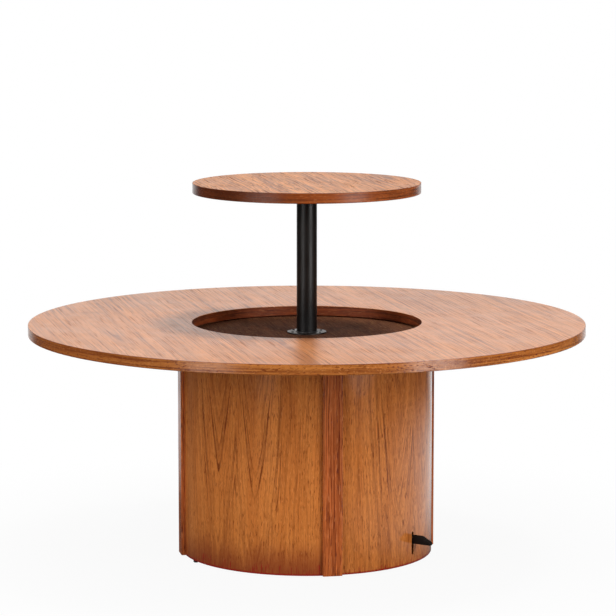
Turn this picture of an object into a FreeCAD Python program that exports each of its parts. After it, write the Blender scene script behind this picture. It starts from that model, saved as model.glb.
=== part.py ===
import FreeCAD, Part
import math
import os
from types import SimpleNamespace

import Sketcher

# Round table on a drum of bent panels. A disc in the middle of the top rises on a post, from flush
# with the top to well above it, and turns there as a lazy susan. A lockable gas spring in the post
# carries the disc, and a foot pedal through the drum's side releases it.
# Millimetres, +Z up. The origin is on the floor below the middle of the top, and the pedal points to +X.
# The disc is modelled in its raised place.

SIZES = {
    # Top, its hole, and the disc that fills the hole
    "table_height": 730,
    "top_diameter": 1735,
    "top_thickness": 32,
    "susan_diameter": 710,
    "susan_gap": 4,
    "veneer_thickness": 1.5,
    "lipping_width": 8,
    "arris_round": 1,
    "lipping_round": 2,
    # Deck below the hole, and how the top is fixed to it
    "packing_thickness": 3,
    "packing_setback": 4,
    "deck_overhang": 48,
    "deck_thickness": 22,
    "deck_hoop_height": 30,
    "hoop_width": 30,
    "top_screw_inset": 18,
    "top_screw_bite": 18,
    "deck_screw_bite": 15,
    # Drum
    "drum_reach": 33,
    "panel_thickness": 12,
    "strip_width": 60,
    "strip_proud": 12,
    "strip_round": 4,
    "strip_tongue_width": 20,
    "base_board_thickness": 15,
    "base_hoop_height": 12,
    "base_screw_bite": 9,
    "glide_diameter": 16,
    "glide_height": 8,
    "glide_inset_far": 9,
    "glide_inset_near": 54,
    "glide_round": 2,
    # Screws
    "wood_screw_diameter": 5,
    "wood_screw_head": 10,
    "wood_screw_head_height": 3,
    "metal_screw_diameter": 4,
    "metal_screw_head": 8,
    "metal_screw_head_height": 2,
    "metal_screw_bite": 12,
    "screw_point": 4,
    "screw_chamfer": 1,
    # Post and its guide
    "post_diameter": 63.5,
    "post_wall": 3,
    "post_below_guide": 9,
    "bush_wall": 3,
    "sleeve_wall": 3,
    "sleeve_length": 150,
    "flange_width": 23,
    "flange_thickness": 4,
    "upper_bush_length": 35,
    "lower_bush_length": 30,
    # Swivel between the post and the disc
    "swivel_ring_width": 13,
    "swivel_thickness": 10,
    "swivel_side_room": 4,
    "swivel_room_above": 1,
    "swivel_room_below": 5,
    "ball_circle": 103,
    "ball_diameter": 6,
    "race_gap": 3,
    # Gas spring
    "cylinder_diameter": 40,
    "cylinder_wall": 2.5,
    "cylinder_floor": 10,
    "neck_diameter": 18,
    "nut_height": 8,
    "nut_width": 27,
    "rod_diameter": 14,
    "rod_guide_length": 20,
    "piston_length": 14,
    "stroke_spare": 8,
    "plug_length": 20,
    "rod_bite": 12,
    "post_spare": 6,
    # Bracket that holds the gas spring over the pedal's lever
    "bracket_inside": 36,
    "bracket_wall": 4,
    "bracket_plate": 6,
    "bracket_foot": 24,
    "bracket_back": 36,
    "bracket_front": 66,
    "bracket_screw_across": 68,
    "bracket_screw_back": 20,
    "bracket_screw_front": 50,
    "bracket_screw_bite": 10,
    # Pedal
    "slot_side_gap": 1.5,
    "slot_headroom": 11,
    "pivot_reach": 48,
    "pivot_height": 62,
    "pivot_diameter": 8,
    "pivot_head": 13,
    "pivot_head_height": 3,
    "spacer_diameter": 14,
    "lever_tail": 10,
    "lever_height": 20,
    "lever_root_height": 26,
    "lever_root_middle": 84,
    "lever_thickness": 9,
    "lever_tongue_height": 12,
    "lever_tongue_length": 46,
    "pad_length": 63,
    "pad_thickness": 14,
    "pad_nose_height": 10,
    "pad_brow_length": 32,
    "pad_round": 3,
    "release_pin_diameter": 6,
    "release_pin_setback": 4,
    "release_room": 8,
    "spring_reach": 160,
    "spring_diameter": 14,
    "spring_wire": 1.6,
    "spring_cup_diameter": 22,
    "spring_cup_thickness": 2,
    "spring_peg_diameter": 9,
    "spring_peg_height": 6,
    # Felt pads below the disc
    "felt_diameter": 25,
    "felt_inset": 60,
    # Clearances
    "glue_line": 0.2,
    "hole_clearance": 0.2,
    "sleeve_clearance": 0.5,
    "running_clearance": 0.08,
    "rest_clearance": 0.3,
    "pedal_clearance": 4,
    # Counts
    "top_screw_count": 8,
    "hoop_screw_count": 8,
    "flange_screw_count": 6,
    "swivel_screw_count": 6,
    "ball_count": 16,
    "far_glide_count": 3,
    "near_glide_count": 3,
    "felt_count": 4,
    "spring_turns": 4,
}

QUARTER = 90
GLIDE_SWEEP = 120
FAR_START = 120
NEAR_START = -60
SIDES = ("right", "back", "left", "front")
CORNERS = ("back_right", "back_left", "front_left", "front_right")
NUT_SIDES = 6
UP = 1
DOWN = -1

doc = FreeCAD.newDocument("rising_susan_table")
sheet = doc.addObject("Spreadsheet::Sheet", "sizes")
for row, (name, number) in enumerate(SIZES.items(), start=1):
    sheet.set("A%d" % row, name)
    sheet.set("B%d" % row, str(number))
    sheet.setAlias("B%d" % row, name)
doc.recompute()


class Size:
    """A number together with the expression that ties it to the sheet."""

    def __init__(self, value, text):
        self.value = value
        self.text = text

    def joined(self, other, sign, value):
        return Size(value, "(%s %s %s)" % (self.text, sign, text_of(other)))

    def __add__(self, other):
        return self.joined(other, "+", self.value + value_of(other))

    def __sub__(self, other):
        return self.joined(other, "-", self.value - value_of(other))

    def __mul__(self, other):
        return self.joined(other, "*", self.value * value_of(other))

    def __truediv__(self, other):
        return self.joined(other, "/", self.value / value_of(other))

    def __neg__(self):
        return Size(-self.value, "(-1 * %s)" % self.text)


def value_of(size):
    return size.value if isinstance(size, Size) else size


def text_of(size):
    return size.text if isinstance(size, Size) else str(size)


def root(size):
    return Size(math.sqrt(size.value), "sqrt(%s)" % size.text)


def arcsine(size):
    return Size(math.degrees(math.asin(size.value)), "asin(%s)" % size.text)


def bind(thing, prop, size):
    """Tie a property to the sheet, or set it where it is a plain number."""
    if isinstance(size, Size):
        thing.setExpression(prop, size.text)
    else:
        setattr(thing, prop, size)


def point(across, up):
    return FreeCAD.Vector(value_of(across), value_of(up), 0)


s = SimpleNamespace(**{name: Size(number, "sizes." + name) for name, number in SIZES.items()})

# Heights and radii that several pieces share
top_underside = s.table_height - s.top_thickness
deck_top = top_underside - s.packing_thickness
deck_underside = deck_top - s.deck_thickness
hoop_underside = deck_underside - s.deck_hoop_height
board_top = s.glide_height + s.base_board_thickness
base_hoop_top = board_top + s.base_hoop_height
hole_radius = s.susan_diameter / 2 + s.susan_gap
drum_radius = hole_radius + s.drum_reach
drum_inside = drum_radius - s.panel_thickness
deck_radius = drum_radius + s.deck_overhang
hoop_radius = drum_inside - s.glue_line
hoop_inside = hoop_radius - s.hoop_width
top_screw_circle = (deck_radius - s.top_screw_inset) * 2
hoop_screw_circle = hoop_radius * 2 - s.hoop_width

bush_bore = s.post_diameter + s.running_clearance * 2
bush_outside = bush_bore + s.bush_wall * 2
sleeve_bore = bush_outside + s.glue_line * 2
sleeve_diameter = sleeve_bore + s.sleeve_wall * 2
sleeve_bottom = deck_top - s.sleeve_length
flange_diameter = sleeve_diameter + s.flange_width * 2
flange_screw_circle = sleeve_diameter + s.flange_width
flange_top = deck_top + s.flange_thickness
deck_bore = sleeve_diameter + s.sleeve_clearance * 2

lever_top = s.pivot_height + s.lever_height / 2
lever_bottom = s.pivot_height - s.lever_height / 2
root_top = s.lever_root_middle + s.lever_root_height / 2
root_bottom = s.lever_root_middle - s.lever_root_height / 2
lever_root = drum_radius + s.pedal_clearance

neck_bottom = lever_top + s.release_room
plate_underside = neck_bottom + s.nut_height
plate_top = plate_underside + s.bracket_plate
post_bottom = sleeve_bottom - s.post_below_guide
susan_travel = post_bottom - s.post_spare - plate_top

susan_top = s.table_height + susan_travel
susan_underside = susan_top - s.top_thickness
recess_depth = s.swivel_room_above + s.swivel_thickness + s.swivel_room_below
swivel_ring_bore = s.ball_circle + s.race_gap
swivel_ring_diameter = swivel_ring_bore + s.swivel_ring_width * 2
swivel_screw_circle = swivel_ring_bore + s.swivel_ring_width
recess_diameter = swivel_ring_diameter + s.swivel_side_room * 2
recess_ceiling = susan_underside + recess_depth
swivel_plate_top = recess_ceiling - s.swivel_room_above
post_top = swivel_plate_top - s.swivel_thickness
ball_height = recess_ceiling - s.swivel_thickness / 2

post_bore = s.post_diameter - s.post_wall * 2
plug_bottom = post_top - s.plug_length
cylinder_bore = s.cylinder_diameter - s.cylinder_wall * 2
cavity_bottom = plate_top + s.cylinder_floor
piston_bottom = cavity_bottom + s.stroke_spare + susan_travel
piston_top = piston_bottom + s.piston_length
guide_bottom = piston_top + s.rest_clearance
cylinder_top = guide_bottom + s.rod_guide_length


def new_body(label, angle=0):
    """Start a body, turned about Z by a plain angle or a size."""
    body = doc.addObject("PartDesign::Body", label)
    body.Label = label
    body.Placement = FreeCAD.Placement(FreeCAD.Vector(), FreeCAD.Rotation(FreeCAD.Vector(0, 0, 1), 0))
    if isinstance(angle, Size):
        body.setExpression("Placement.Rotation.Angle", angle.text)
    elif angle:
        body.Placement = FreeCAD.Placement(
            FreeCAD.Vector(), FreeCAD.Rotation(FreeCAD.Vector(0, 0, 1), angle)
        )
    return body


def origin_part(body, role):
    return next(part for part in body.Origin.OriginFeatures if part.Role == role)


def new_sketch(body, plane, shift=None):
    """Start a sketch on one of the body's own planes, moved along its normal by shift."""
    sketch = body.newObject("Sketcher::SketchObject", body.Name + "_sketch")
    sketch.AttachmentSupport = [(origin_part(body, plane), "")]
    sketch.MapMode = "FlatFace"
    if shift is not None:
        sketch.setExpression("AttachmentOffset.Base.z", text_of(shift))
    return sketch


def place(sketch, geometry, end, across, up):
    """Tie one point of a sketch to its distances from the sketch's origin; None leaves one free."""
    for kind, axis, size in (("DistanceX", -2, across), ("DistanceY", -1, up)):
        if size is None:
            continue
        if value_of(size) == 0:
            sketch.addConstraint(Sketcher.Constraint("PointOnObject", geometry, end, axis))
            continue
        rule = Sketcher.Constraint(kind, -1, 1, geometry, end, value_of(size))
        number = sketch.addConstraint(rule)
        bind(sketch, "Constraints[%d]" % number, size)


def tie_radius(sketch, geometry, radius):
    number = sketch.addConstraint(Sketcher.Constraint("Radius", geometry, value_of(radius)))
    bind(sketch, "Constraints[%d]" % number, radius)


def add_outline(sketch, corners):
    """Closed outline of straight lines through the corners, each an (across, up) pair."""
    nexts = corners[1:] + corners[:1]
    lines = [
        sketch.addGeometry(Part.LineSegment(point(*start), point(*end)))
        for start, end in zip(corners, nexts)
    ]
    for line, following in zip(lines, lines[1:] + lines[:1]):
        sketch.addConstraint(Sketcher.Constraint("Coincident", line, 2, following, 1))
    for line, corner in zip(lines, corners):
        place(sketch, line, 1, *corner)


def add_circle(sketch, across, up, diameter):
    radius = diameter / 2
    circle = Part.Circle(point(across, up), FreeCAD.Vector(0, 0, 1), value_of(radius))
    geometry = sketch.addGeometry(circle)
    place(sketch, geometry, 3, across, up)
    tie_radius(sketch, geometry, radius)


def add_axis(sketch, across):
    """Upright construction line, the axis of a form that is turned off centre."""
    bottom, top = deck_underside, deck_top
    line = sketch.addGeometry(Part.LineSegment(point(across, bottom), point(across, top)), True)
    place(sketch, line, 1, across, bottom)
    place(sketch, line, 2, across, top)


def turned(body, kind, draw, axis_at=None, angle=None):
    """Turn what draw puts in a sketch about Z, or about an upright line at axis_at."""
    sketch = new_sketch(body, "XZ_Plane")
    draw(sketch)
    feature = body.newObject("PartDesign::" + kind, body.Name + "_turned")
    feature.Profile = (sketch, [""])
    if axis_at is None:
        feature.ReferenceAxis = (sketch, ["V_Axis"])
    else:
        add_axis(sketch, axis_at)
        feature.ReferenceAxis = (sketch, ["Axis0"])
    if angle is None:
        feature.Angle = 360
    else:
        feature.Midplane = True
        bind(feature, "Angle", angle)
    return feature


def repeat(body, feature, count, sweep=360):
    """Repeat a feature evenly about Z, over a sweep from the first to the last, or a full turn."""
    pattern = body.newObject("PartDesign::PolarPattern", body.Name + "_ring")
    pattern.Originals = [feature]
    pattern.Axis = (origin_part(body, "Z_Axis"), [""])
    pattern.Angle = sweep
    bind(pattern, "Occurrences", count)
    body.Tip = pattern
    return pattern


def padded(body, sketch, length, both_ways=False):
    feature = body.newObject("PartDesign::Pad", body.Name + "_pad")
    feature.Profile = sketch
    if both_ways:
        feature.SideType = "Symmetric"
    bind(feature, "Length", length)
    return feature


def checked_cut(body, make):
    """Make a cut, and stop if it took nothing away."""
    doc.recompute()
    before = body.Shape.Volume
    make()
    doc.recompute()
    if not body.Shape.Volume < before:
        raise RuntimeError("a cut in %s removed nothing" % body.Label)


def pocket_through(body, sketch):
    """Cut a sketch right through, both ways from its plane."""

    def make():
        feature = body.newObject("PartDesign::Pocket", body.Name + "_cut")
        feature.Profile = sketch
        feature.SideType = "Symmetric"
        feature.Type = "ThroughAll"

    checked_cut(body, make)


def pocket_down(body, sketch, depth):
    """Cut a sketch downwards from its plane."""

    def make():
        feature = body.newObject("PartDesign::Pocket", body.Name + "_cut")
        feature.Profile = sketch
        bind(feature, "Length", depth)

    checked_cut(body, make)


def drill(body, circle, diameter, low, high, count):
    """Drill upright holes, evenly spaced on a circle of the given diameter."""
    axis_at = circle / 2
    wall = axis_at + diameter / 2
    corners = [(axis_at, low), (wall, low), (wall, high), (axis_at, high)]

    def make():
        hole = turned(body, "Groove", lambda sketch: add_outline(sketch, corners), axis_at)
        repeat(body, hole, count)

    checked_cut(body, make)


def rounded(body, radius, wanted):
    """Round those edges of the body's last feature for which wanted gives true."""
    doc.recompute()
    base = body.Tip
    names = ["Edge%d" % n for n, edge in enumerate(base.Shape.Edges, start=1) if wanted(edge)]
    feature = body.newObject("PartDesign::Fillet", body.Name + "_round")
    feature.Base = (base, names)
    bind(feature, "Radius", radius)
    return feature


def near(first, second):
    return abs(first - second) < 1e-4


def rim(radius, height):
    """Test for a round edge about Z of a given radius and height."""

    def wanted(edge):
        curve = edge.Curve
        is_circle = isinstance(curve, Part.Circle)
        return is_circle and near(curve.Radius, value_of(radius)) and near(curve.Center.z, value_of(height))

    return wanted


def either(*tests):
    return lambda edge: any(test(edge) for test in tests)


def turning(label, corners, angle=0):
    """A piece turned about Z from a straight-sided half section."""
    body = new_body(label, angle)
    turned(body, "Revolution", lambda sketch: add_outline(sketch, corners))
    return body


def block(inner, outer, low, high):
    """Corners of a rectangular half section."""
    return [(inner, low), (outer, low), (outer, high), (inner, high)]


def disc(label, diameter, low, high):
    return turning(label, block(0, diameter / 2, low, high))


def tube(label, bore, diameter, low, high):
    return turning(label, block(bore / 2, diameter / 2, low, high))


def screw_ring(label, circle, count, sizes, seat, grip, way):
    """Screws on a circle: heads on the seat, shanks reaching grip beyond it, UP or DOWN."""
    shank, head, head_height = sizes
    middle = circle / 2
    shank_wall = middle + shank / 2
    head_wall = middle + head / 2
    crown = seat - head_height * way
    corners = [
        (middle, crown),
        (head_wall - s.screw_chamfer, crown),
        (head_wall, crown + s.screw_chamfer * way),
        (head_wall, seat),
        (shank_wall, seat),
        (shank_wall, seat + (grip - s.screw_point) * way),
        (middle, seat + grip * way),
    ]
    body = new_body(label)
    screw = turned(body, "Revolution", lambda sketch: add_outline(sketch, corners), middle)
    repeat(body, screw, count)
    return body


wood_screw = (s.wood_screw_diameter, s.wood_screw_head, s.wood_screw_head_height)
metal_screw = (s.metal_screw_diameter, s.metal_screw_head, s.metal_screw_head_height)
wood_hole = s.wood_screw_diameter + s.hole_clearance * 2
metal_hole = s.metal_screw_diameter + s.hole_clearance * 2


def veneered_board(label, inner, outer, low, high):
    """Board whose face veneer laps over the lippings at its rims; inner is 0 for a full disc."""
    face = high - s.veneer_thickness
    outer_core = outer - s.lipping_width - s.glue_line
    corners = [(inner, high), (outer, high), (outer, face), (outer_core, face), (outer_core, low)]
    if value_of(inner):
        inner_core = inner + s.lipping_width + s.glue_line
        corners += [(inner_core, low), (inner_core, face), (inner, face)]
    else:
        corners.append((inner, low))
    body = turning(label, corners)
    tests = [rim(outer, high)]
    if value_of(inner):
        tests.append(rim(inner, high))
    rounded(body, s.arris_round, either(*tests))
    return body


def lipping(label, inner, outer, low, high, rounded_radius):
    """Solid edging below the face veneer, with its lower outside arris rounded."""
    body = turning(label, block(inner, outer, low, high))
    rounded(body, s.lipping_round, rim(rounded_radius, low))
    return body


def make_top():
    """Ring-shaped board, its two lippings, the packing below it and the screws that hold it."""
    outer = s.top_diameter / 2
    face = s.table_height - s.veneer_thickness
    top = veneered_board("table_top", hole_radius, outer, top_underside, s.table_height)
    pilot_top = top_underside + s.top_screw_bite + s.rest_clearance
    drill(top, top_screw_circle, wood_hole, top_underside, pilot_top, s.top_screw_count)
    lipping("top_edge_lipping", outer - s.lipping_width, outer, top_underside, face, outer)
    lipping("top_hole_lipping", hole_radius, hole_radius + s.lipping_width, top_underside, face, hole_radius)
    packing_section = block(drum_inside, deck_radius - s.packing_setback, deck_top, top_underside)
    packing = turning("packing_ring", packing_section)
    drill(packing, top_screw_circle, wood_hole, deck_top, top_underside, s.top_screw_count)
    grip = s.deck_thickness + s.packing_thickness + s.top_screw_bite
    screw_ring("top_screws", top_screw_circle, s.top_screw_count, wood_screw, deck_underside, grip, UP)


def make_deck():
    """Deck that floors the well, and the hoop that joins it to the drum."""
    deck = tube("deck_board", deck_bore, deck_radius * 2, deck_underside, deck_top)
    drill(deck, top_screw_circle, wood_hole, deck_underside, deck_top, s.top_screw_count)
    hoop_pilot = deck_underside + s.deck_screw_bite + s.rest_clearance
    drill(deck, hoop_screw_circle, wood_hole, deck_underside, hoop_pilot, s.hoop_screw_count)
    flange_pilot = deck_top - s.metal_screw_bite - s.rest_clearance
    drill(deck, flange_screw_circle, metal_hole, flange_pilot, deck_top, s.flange_screw_count)
    hoop = turning("deck_hoop", block(hoop_inside, hoop_radius, hoop_underside, deck_underside))
    drill(hoop, hoop_screw_circle, wood_hole, hoop_underside, deck_underside, s.hoop_screw_count)
    grip = s.deck_hoop_height + s.deck_screw_bite
    count = s.hoop_screw_count
    screw_ring("deck_hoop_screws", hoop_screw_circle, count, wood_screw, hoop_underside, grip, UP)


def add_slot(sketch, low, high, width):
    """Upright slot with round ends, standing on the sketch's vertical axis."""
    side = width / 2
    bottom, top = low + side, high - side
    right = sketch.addGeometry(Part.LineSegment(point(side, bottom), point(side, top)))
    left = sketch.addGeometry(Part.LineSegment(point(-side, top), point(-side, bottom)))
    crown = Part.Arc(point(side, top), point(0, high), point(-side, top))
    sole = Part.Arc(point(-side, bottom), point(0, low), point(side, bottom))
    ends = [sketch.addGeometry(crown), sketch.addGeometry(sole)]
    joins = ((right, 2, ends[0], 1), (ends[0], 2, left, 1), (left, 2, ends[1], 1), (ends[1], 2, right, 1))
    for join in joins:
        sketch.addConstraint(Sketcher.Constraint("Coincident", *join))
    place(sketch, right, 1, side, bottom)
    place(sketch, right, 2, side, top)
    place(sketch, left, 1, -side, top)
    place(sketch, left, 2, -side, bottom)
    for end, height in zip(ends, (top, bottom)):
        place(sketch, end, 3, None, height)


def make_panels():
    """Four bent panels; the right one has the pedal's slot."""
    tongue_angle = arcsine((s.strip_tongue_width / 2 + s.glue_line) / drum_inside)
    sweep = -(tongue_angle * 2) + Size(QUARTER, "90 deg")
    section = block(drum_inside, drum_radius, s.glide_height, deck_underside)
    slot_width = s.lever_thickness + s.slot_side_gap * 2
    for number, side in enumerate(SIDES):
        body = new_body("panel_" + side, number * QUARTER)
        turned(body, "Revolution", lambda sketch: add_outline(sketch, section), angle=sweep)
        if side == "right":
            slot = new_sketch(body, "YZ_Plane")
            add_slot(slot, base_hoop_top, root_top + s.slot_headroom, slot_width)
            pocket_through(body, slot)


def add_strip_section(sketch):
    """Strip section: a head that laps over two panels and a tongue that stands between them."""
    seat = drum_radius + s.glue_line
    half, tongue = s.strip_width / 2, s.strip_tongue_width / 2
    face = drum_radius + s.strip_proud
    lap = root(seat * seat - half * half)
    neck = root(seat * seat - tongue * tongue)
    runs = [
        [(lap, -half), (face, -half), (face, half), (lap, half)],
        [(neck, tongue), (drum_inside, tongue), (drum_inside, -tongue), (neck, -tongue)],
    ]
    chains = []
    for run in runs:
        lines = [
            sketch.addGeometry(Part.LineSegment(point(*start), point(*end)))
            for start, end in zip(run, run[1:])
        ]
        for line, corner in zip(lines, run):
            place(sketch, line, 1, *corner)
        place(sketch, lines[-1], 2, *run[-1])
        for line, following in zip(lines, lines[1:]):
            sketch.addConstraint(Sketcher.Constraint("Coincident", line, 2, following, 1))
        chains.append(lines)
    head, stem = chains
    laps = (
        ((neck, tongue), (lap, half), (stem[0], 1), (head[-1], 2)),
        ((lap, -half), (neck, -tongue), (head[0], 1), (stem[-1], 2)),
    )
    for start, end, start_joins, end_joins in laps:
        middle_up = (value_of(start[1]) + value_of(end[1])) / 2
        crown = FreeCAD.Vector(math.sqrt(value_of(seat) ** 2 - middle_up**2), middle_up, 0)
        arc = sketch.addGeometry(Part.Arc(point(*start), crown, point(*end)))
        sketch.addConstraint(Sketcher.Constraint("Coincident", arc, 1, *start_joins))
        sketch.addConstraint(Sketcher.Constraint("Coincident", arc, 2, *end_joins))
        tie_radius(sketch, arc, seat)


def make_strips():
    """Four solid strips over the joints between the panels."""
    face = drum_radius + s.strip_proud

    def outer_corner(edge):
        middle = edge.CenterOfMass
        upright = near(edge.Length, value_of(deck_underside - s.glide_height))
        return upright and near(middle.x, value_of(face))

    for number, corner in enumerate(CORNERS):
        body = new_body("strip_" + corner, number * QUARTER + QUARTER / 2)
        sketch = new_sketch(body, "XY_Plane", s.glide_height)
        add_strip_section(sketch)
        padded(body, sketch, deck_underside - s.glide_height)
        rounded(body, s.strip_round, outer_corner)


def make_base():
    """Base board and hoop inside the drum's foot, their screws, and the glides."""
    board = disc("base_board", hoop_radius * 2, s.glide_height, board_top)
    drill(board, hoop_screw_circle, wood_hole, s.glide_height, board_top, s.hoop_screw_count)
    bracket_pilots = new_sketch(board, "XY_Plane", board_top)
    add_bracket_circles(bracket_pilots, metal_hole)
    pocket_down(board, bracket_pilots, s.bracket_screw_bite + s.rest_clearance)
    hoop = turning("base_hoop", block(hoop_inside, hoop_radius, board_top, base_hoop_top))
    pilot = board_top + s.base_screw_bite + s.rest_clearance
    drill(hoop, hoop_screw_circle, wood_hole, board_top, pilot, s.hoop_screw_count)
    grip = s.base_board_thickness + s.base_screw_bite
    screw_ring("base_screws", hoop_screw_circle, s.hoop_screw_count, wood_screw, s.glide_height, grip, UP)
    make_glides("far_glides", s.glide_inset_far, s.far_glide_count, FAR_START)
    make_glides("near_glides", s.glide_inset_near, s.near_glide_count, NEAR_START)


def make_glides(label, inset, count, start):
    """Glides below the drum, over the half that begins at the angle start."""
    middle = drum_radius - inset
    wall = middle + s.glide_diameter / 2
    section = [
        (middle, 0),
        (wall - s.glide_round, 0),
        (wall, s.glide_round),
        (wall, s.glide_height),
        (middle, s.glide_height),
    ]
    body = new_body(label, start)
    glide = turned(body, "Revolution", lambda sketch: add_outline(sketch, section), middle)
    repeat(body, glide, count, GLIDE_SWEEP)


def make_guide():
    """Flanged sleeve in the deck, and the two bushes that the post slides in."""
    bore, wall = sleeve_bore / 2, sleeve_diameter / 2
    rim_radius = flange_diameter / 2
    corners = [
        (bore, sleeve_bottom),
        (wall, sleeve_bottom),
        (wall, deck_top),
        (rim_radius, deck_top),
        (rim_radius, flange_top),
        (bore, flange_top),
    ]
    sleeve = turning("guide_sleeve", corners)
    count = s.flange_screw_count
    drill(sleeve, flange_screw_circle, metal_hole, deck_top, flange_top, count)
    tube("upper_bush", bush_bore, bush_outside, flange_top - s.upper_bush_length, flange_top)
    tube("lower_bush", bush_bore, bush_outside, sleeve_bottom, sleeve_bottom + s.lower_bush_length)
    grip = s.flange_thickness + s.metal_screw_bite
    screw_ring("flange_screws", flange_screw_circle, count, metal_screw, flange_top, grip, DOWN)


def race(body):
    """Round groove for the swivel's balls."""
    width = s.ball_diameter + s.running_clearance * 2

    def make():
        turned(body, "Groove", lambda sketch: add_circle(sketch, s.ball_circle / 2, ball_height, width))

    checked_cut(body, make)


def make_post():
    """Post with its plug, the gas spring's rod and piston, and the swivel's inner plate and balls."""
    tube("lift_post", post_bore, s.post_diameter, post_bottom, post_top)
    plug_radius = post_bore / 2 - s.glue_line
    socket = s.rod_diameter / 2 + s.hole_clearance
    socket_top = plug_bottom + s.rod_bite + s.rest_clearance
    corners = [
        (socket, plug_bottom),
        (plug_radius, plug_bottom),
        (plug_radius, post_top),
        (0, post_top),
        (0, socket_top),
        (socket, socket_top),
    ]
    turning("post_plug", corners)
    disc("gas_rod", s.rod_diameter, piston_bottom, plug_bottom + s.rod_bite)
    piston_bore = s.rod_diameter + s.hole_clearance * 2
    piston_outside = cylinder_bore - s.running_clearance * 2
    tube("gas_piston", piston_bore, piston_outside, piston_bottom, piston_top)
    plate = disc("swivel_inner_plate", s.ball_circle - s.race_gap, post_top, swivel_plate_top)
    race(plate)
    add_balls()


def add_balls():
    middle = s.ball_circle / 2
    radius = s.ball_diameter / 2

    def half_ball(sketch):
        low, high = point(middle, ball_height - radius), point(middle, ball_height + radius)
        bulge = Part.Arc(low, point(middle + radius, ball_height), high)
        arc = sketch.addGeometry(bulge)
        line = sketch.addGeometry(Part.LineSegment(high, low))
        sketch.addConstraint(Sketcher.Constraint("Coincident", arc, 2, line, 1))
        sketch.addConstraint(Sketcher.Constraint("Coincident", line, 2, arc, 1))
        place(sketch, line, 1, middle, ball_height + radius)
        place(sketch, line, 2, middle, ball_height - radius)
        place(sketch, arc, 3, middle, None)

    body = new_body("swivel_balls")
    ball = turned(body, "Revolution", half_ball, middle)
    repeat(body, ball, s.ball_count)


def make_susan():
    """Disc with its lipping, the swivel's outer ring and screws, and the felt pads."""
    outer = s.susan_diameter / 2
    board = veneered_board("susan_board", 0, outer, susan_underside, susan_top)
    recess = block(0, recess_diameter / 2, susan_underside, recess_ceiling)
    checked_cut(board, lambda: turned(board, "Groove", lambda sketch: add_outline(sketch, recess)))
    pilot = recess_ceiling + s.metal_screw_bite + s.rest_clearance
    count = s.swivel_screw_count
    drill(board, swivel_screw_circle, metal_hole, recess_ceiling, pilot, count)
    face = susan_top - s.veneer_thickness
    lipping("susan_lipping", outer - s.lipping_width, outer, susan_underside, face, outer)
    ring_bottom = recess_ceiling - s.swivel_thickness
    ring_section = block(swivel_ring_bore / 2, swivel_ring_diameter / 2, ring_bottom, recess_ceiling)
    ring = turning("swivel_outer_ring", ring_section)
    drill(ring, swivel_screw_circle, metal_hole, ring_bottom, recess_ceiling, count)
    race(ring)
    grip = s.swivel_thickness + s.metal_screw_bite
    screw_ring("swivel_screws", swivel_screw_circle, count, metal_screw, ring_bottom, grip, UP)
    middle = outer - s.felt_inset
    felt_bottom = susan_underside - s.packing_thickness + s.rest_clearance
    section = block(middle, middle + s.felt_diameter / 2, felt_bottom, susan_underside)
    body = new_body("susan_felts")
    felt = turned(body, "Revolution", lambda sketch: add_outline(sketch, section), middle)
    repeat(body, felt, s.felt_count)


def make_gas_spring():
    """Cylinder on the bracket, with its neck and nut below and the rod guide in its upper end."""
    neck = s.neck_diameter / 2
    valve = s.release_pin_diameter / 2 + s.running_clearance
    bore = cylinder_bore / 2
    wall = s.cylinder_diameter / 2
    corners = [
        (valve, neck_bottom),
        (neck, neck_bottom),
        (neck, plate_top),
        (wall, plate_top),
        (wall, cylinder_top),
        (bore, cylinder_top),
        (bore, cavity_bottom),
        (valve, cavity_bottom),
    ]
    turning("gas_cylinder", corners)
    rod_bore = s.rod_diameter + s.running_clearance * 2
    tube("rod_guide", rod_bore, cylinder_bore - s.glue_line * 2, guide_bottom, cylinder_top)
    nut = new_body("cylinder_nut")
    sketch = new_sketch(nut, "XY_Plane", neck_bottom)
    corner_radius = s.nut_width / 2 / math.cos(math.pi / NUT_SIDES)
    angles = [math.pi * (2 * step + 1) / NUT_SIDES for step in range(NUT_SIDES)]
    hexagon = [(corner_radius * math.cos(a), corner_radius * math.sin(a)) for a in angles]
    add_outline(sketch, hexagon)
    add_circle(sketch, 0, 0, s.neck_diameter + s.hole_clearance * 2)
    padded(nut, sketch, s.nut_height)


def add_bracket_circles(sketch, diameter):
    """The four screw places in the bracket's feet."""
    for reach in (-s.bracket_screw_back, s.bracket_screw_front):
        for across in (-(s.bracket_screw_across / 2), s.bracket_screw_across / 2):
            add_circle(sketch, reach, across, diameter)


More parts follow.
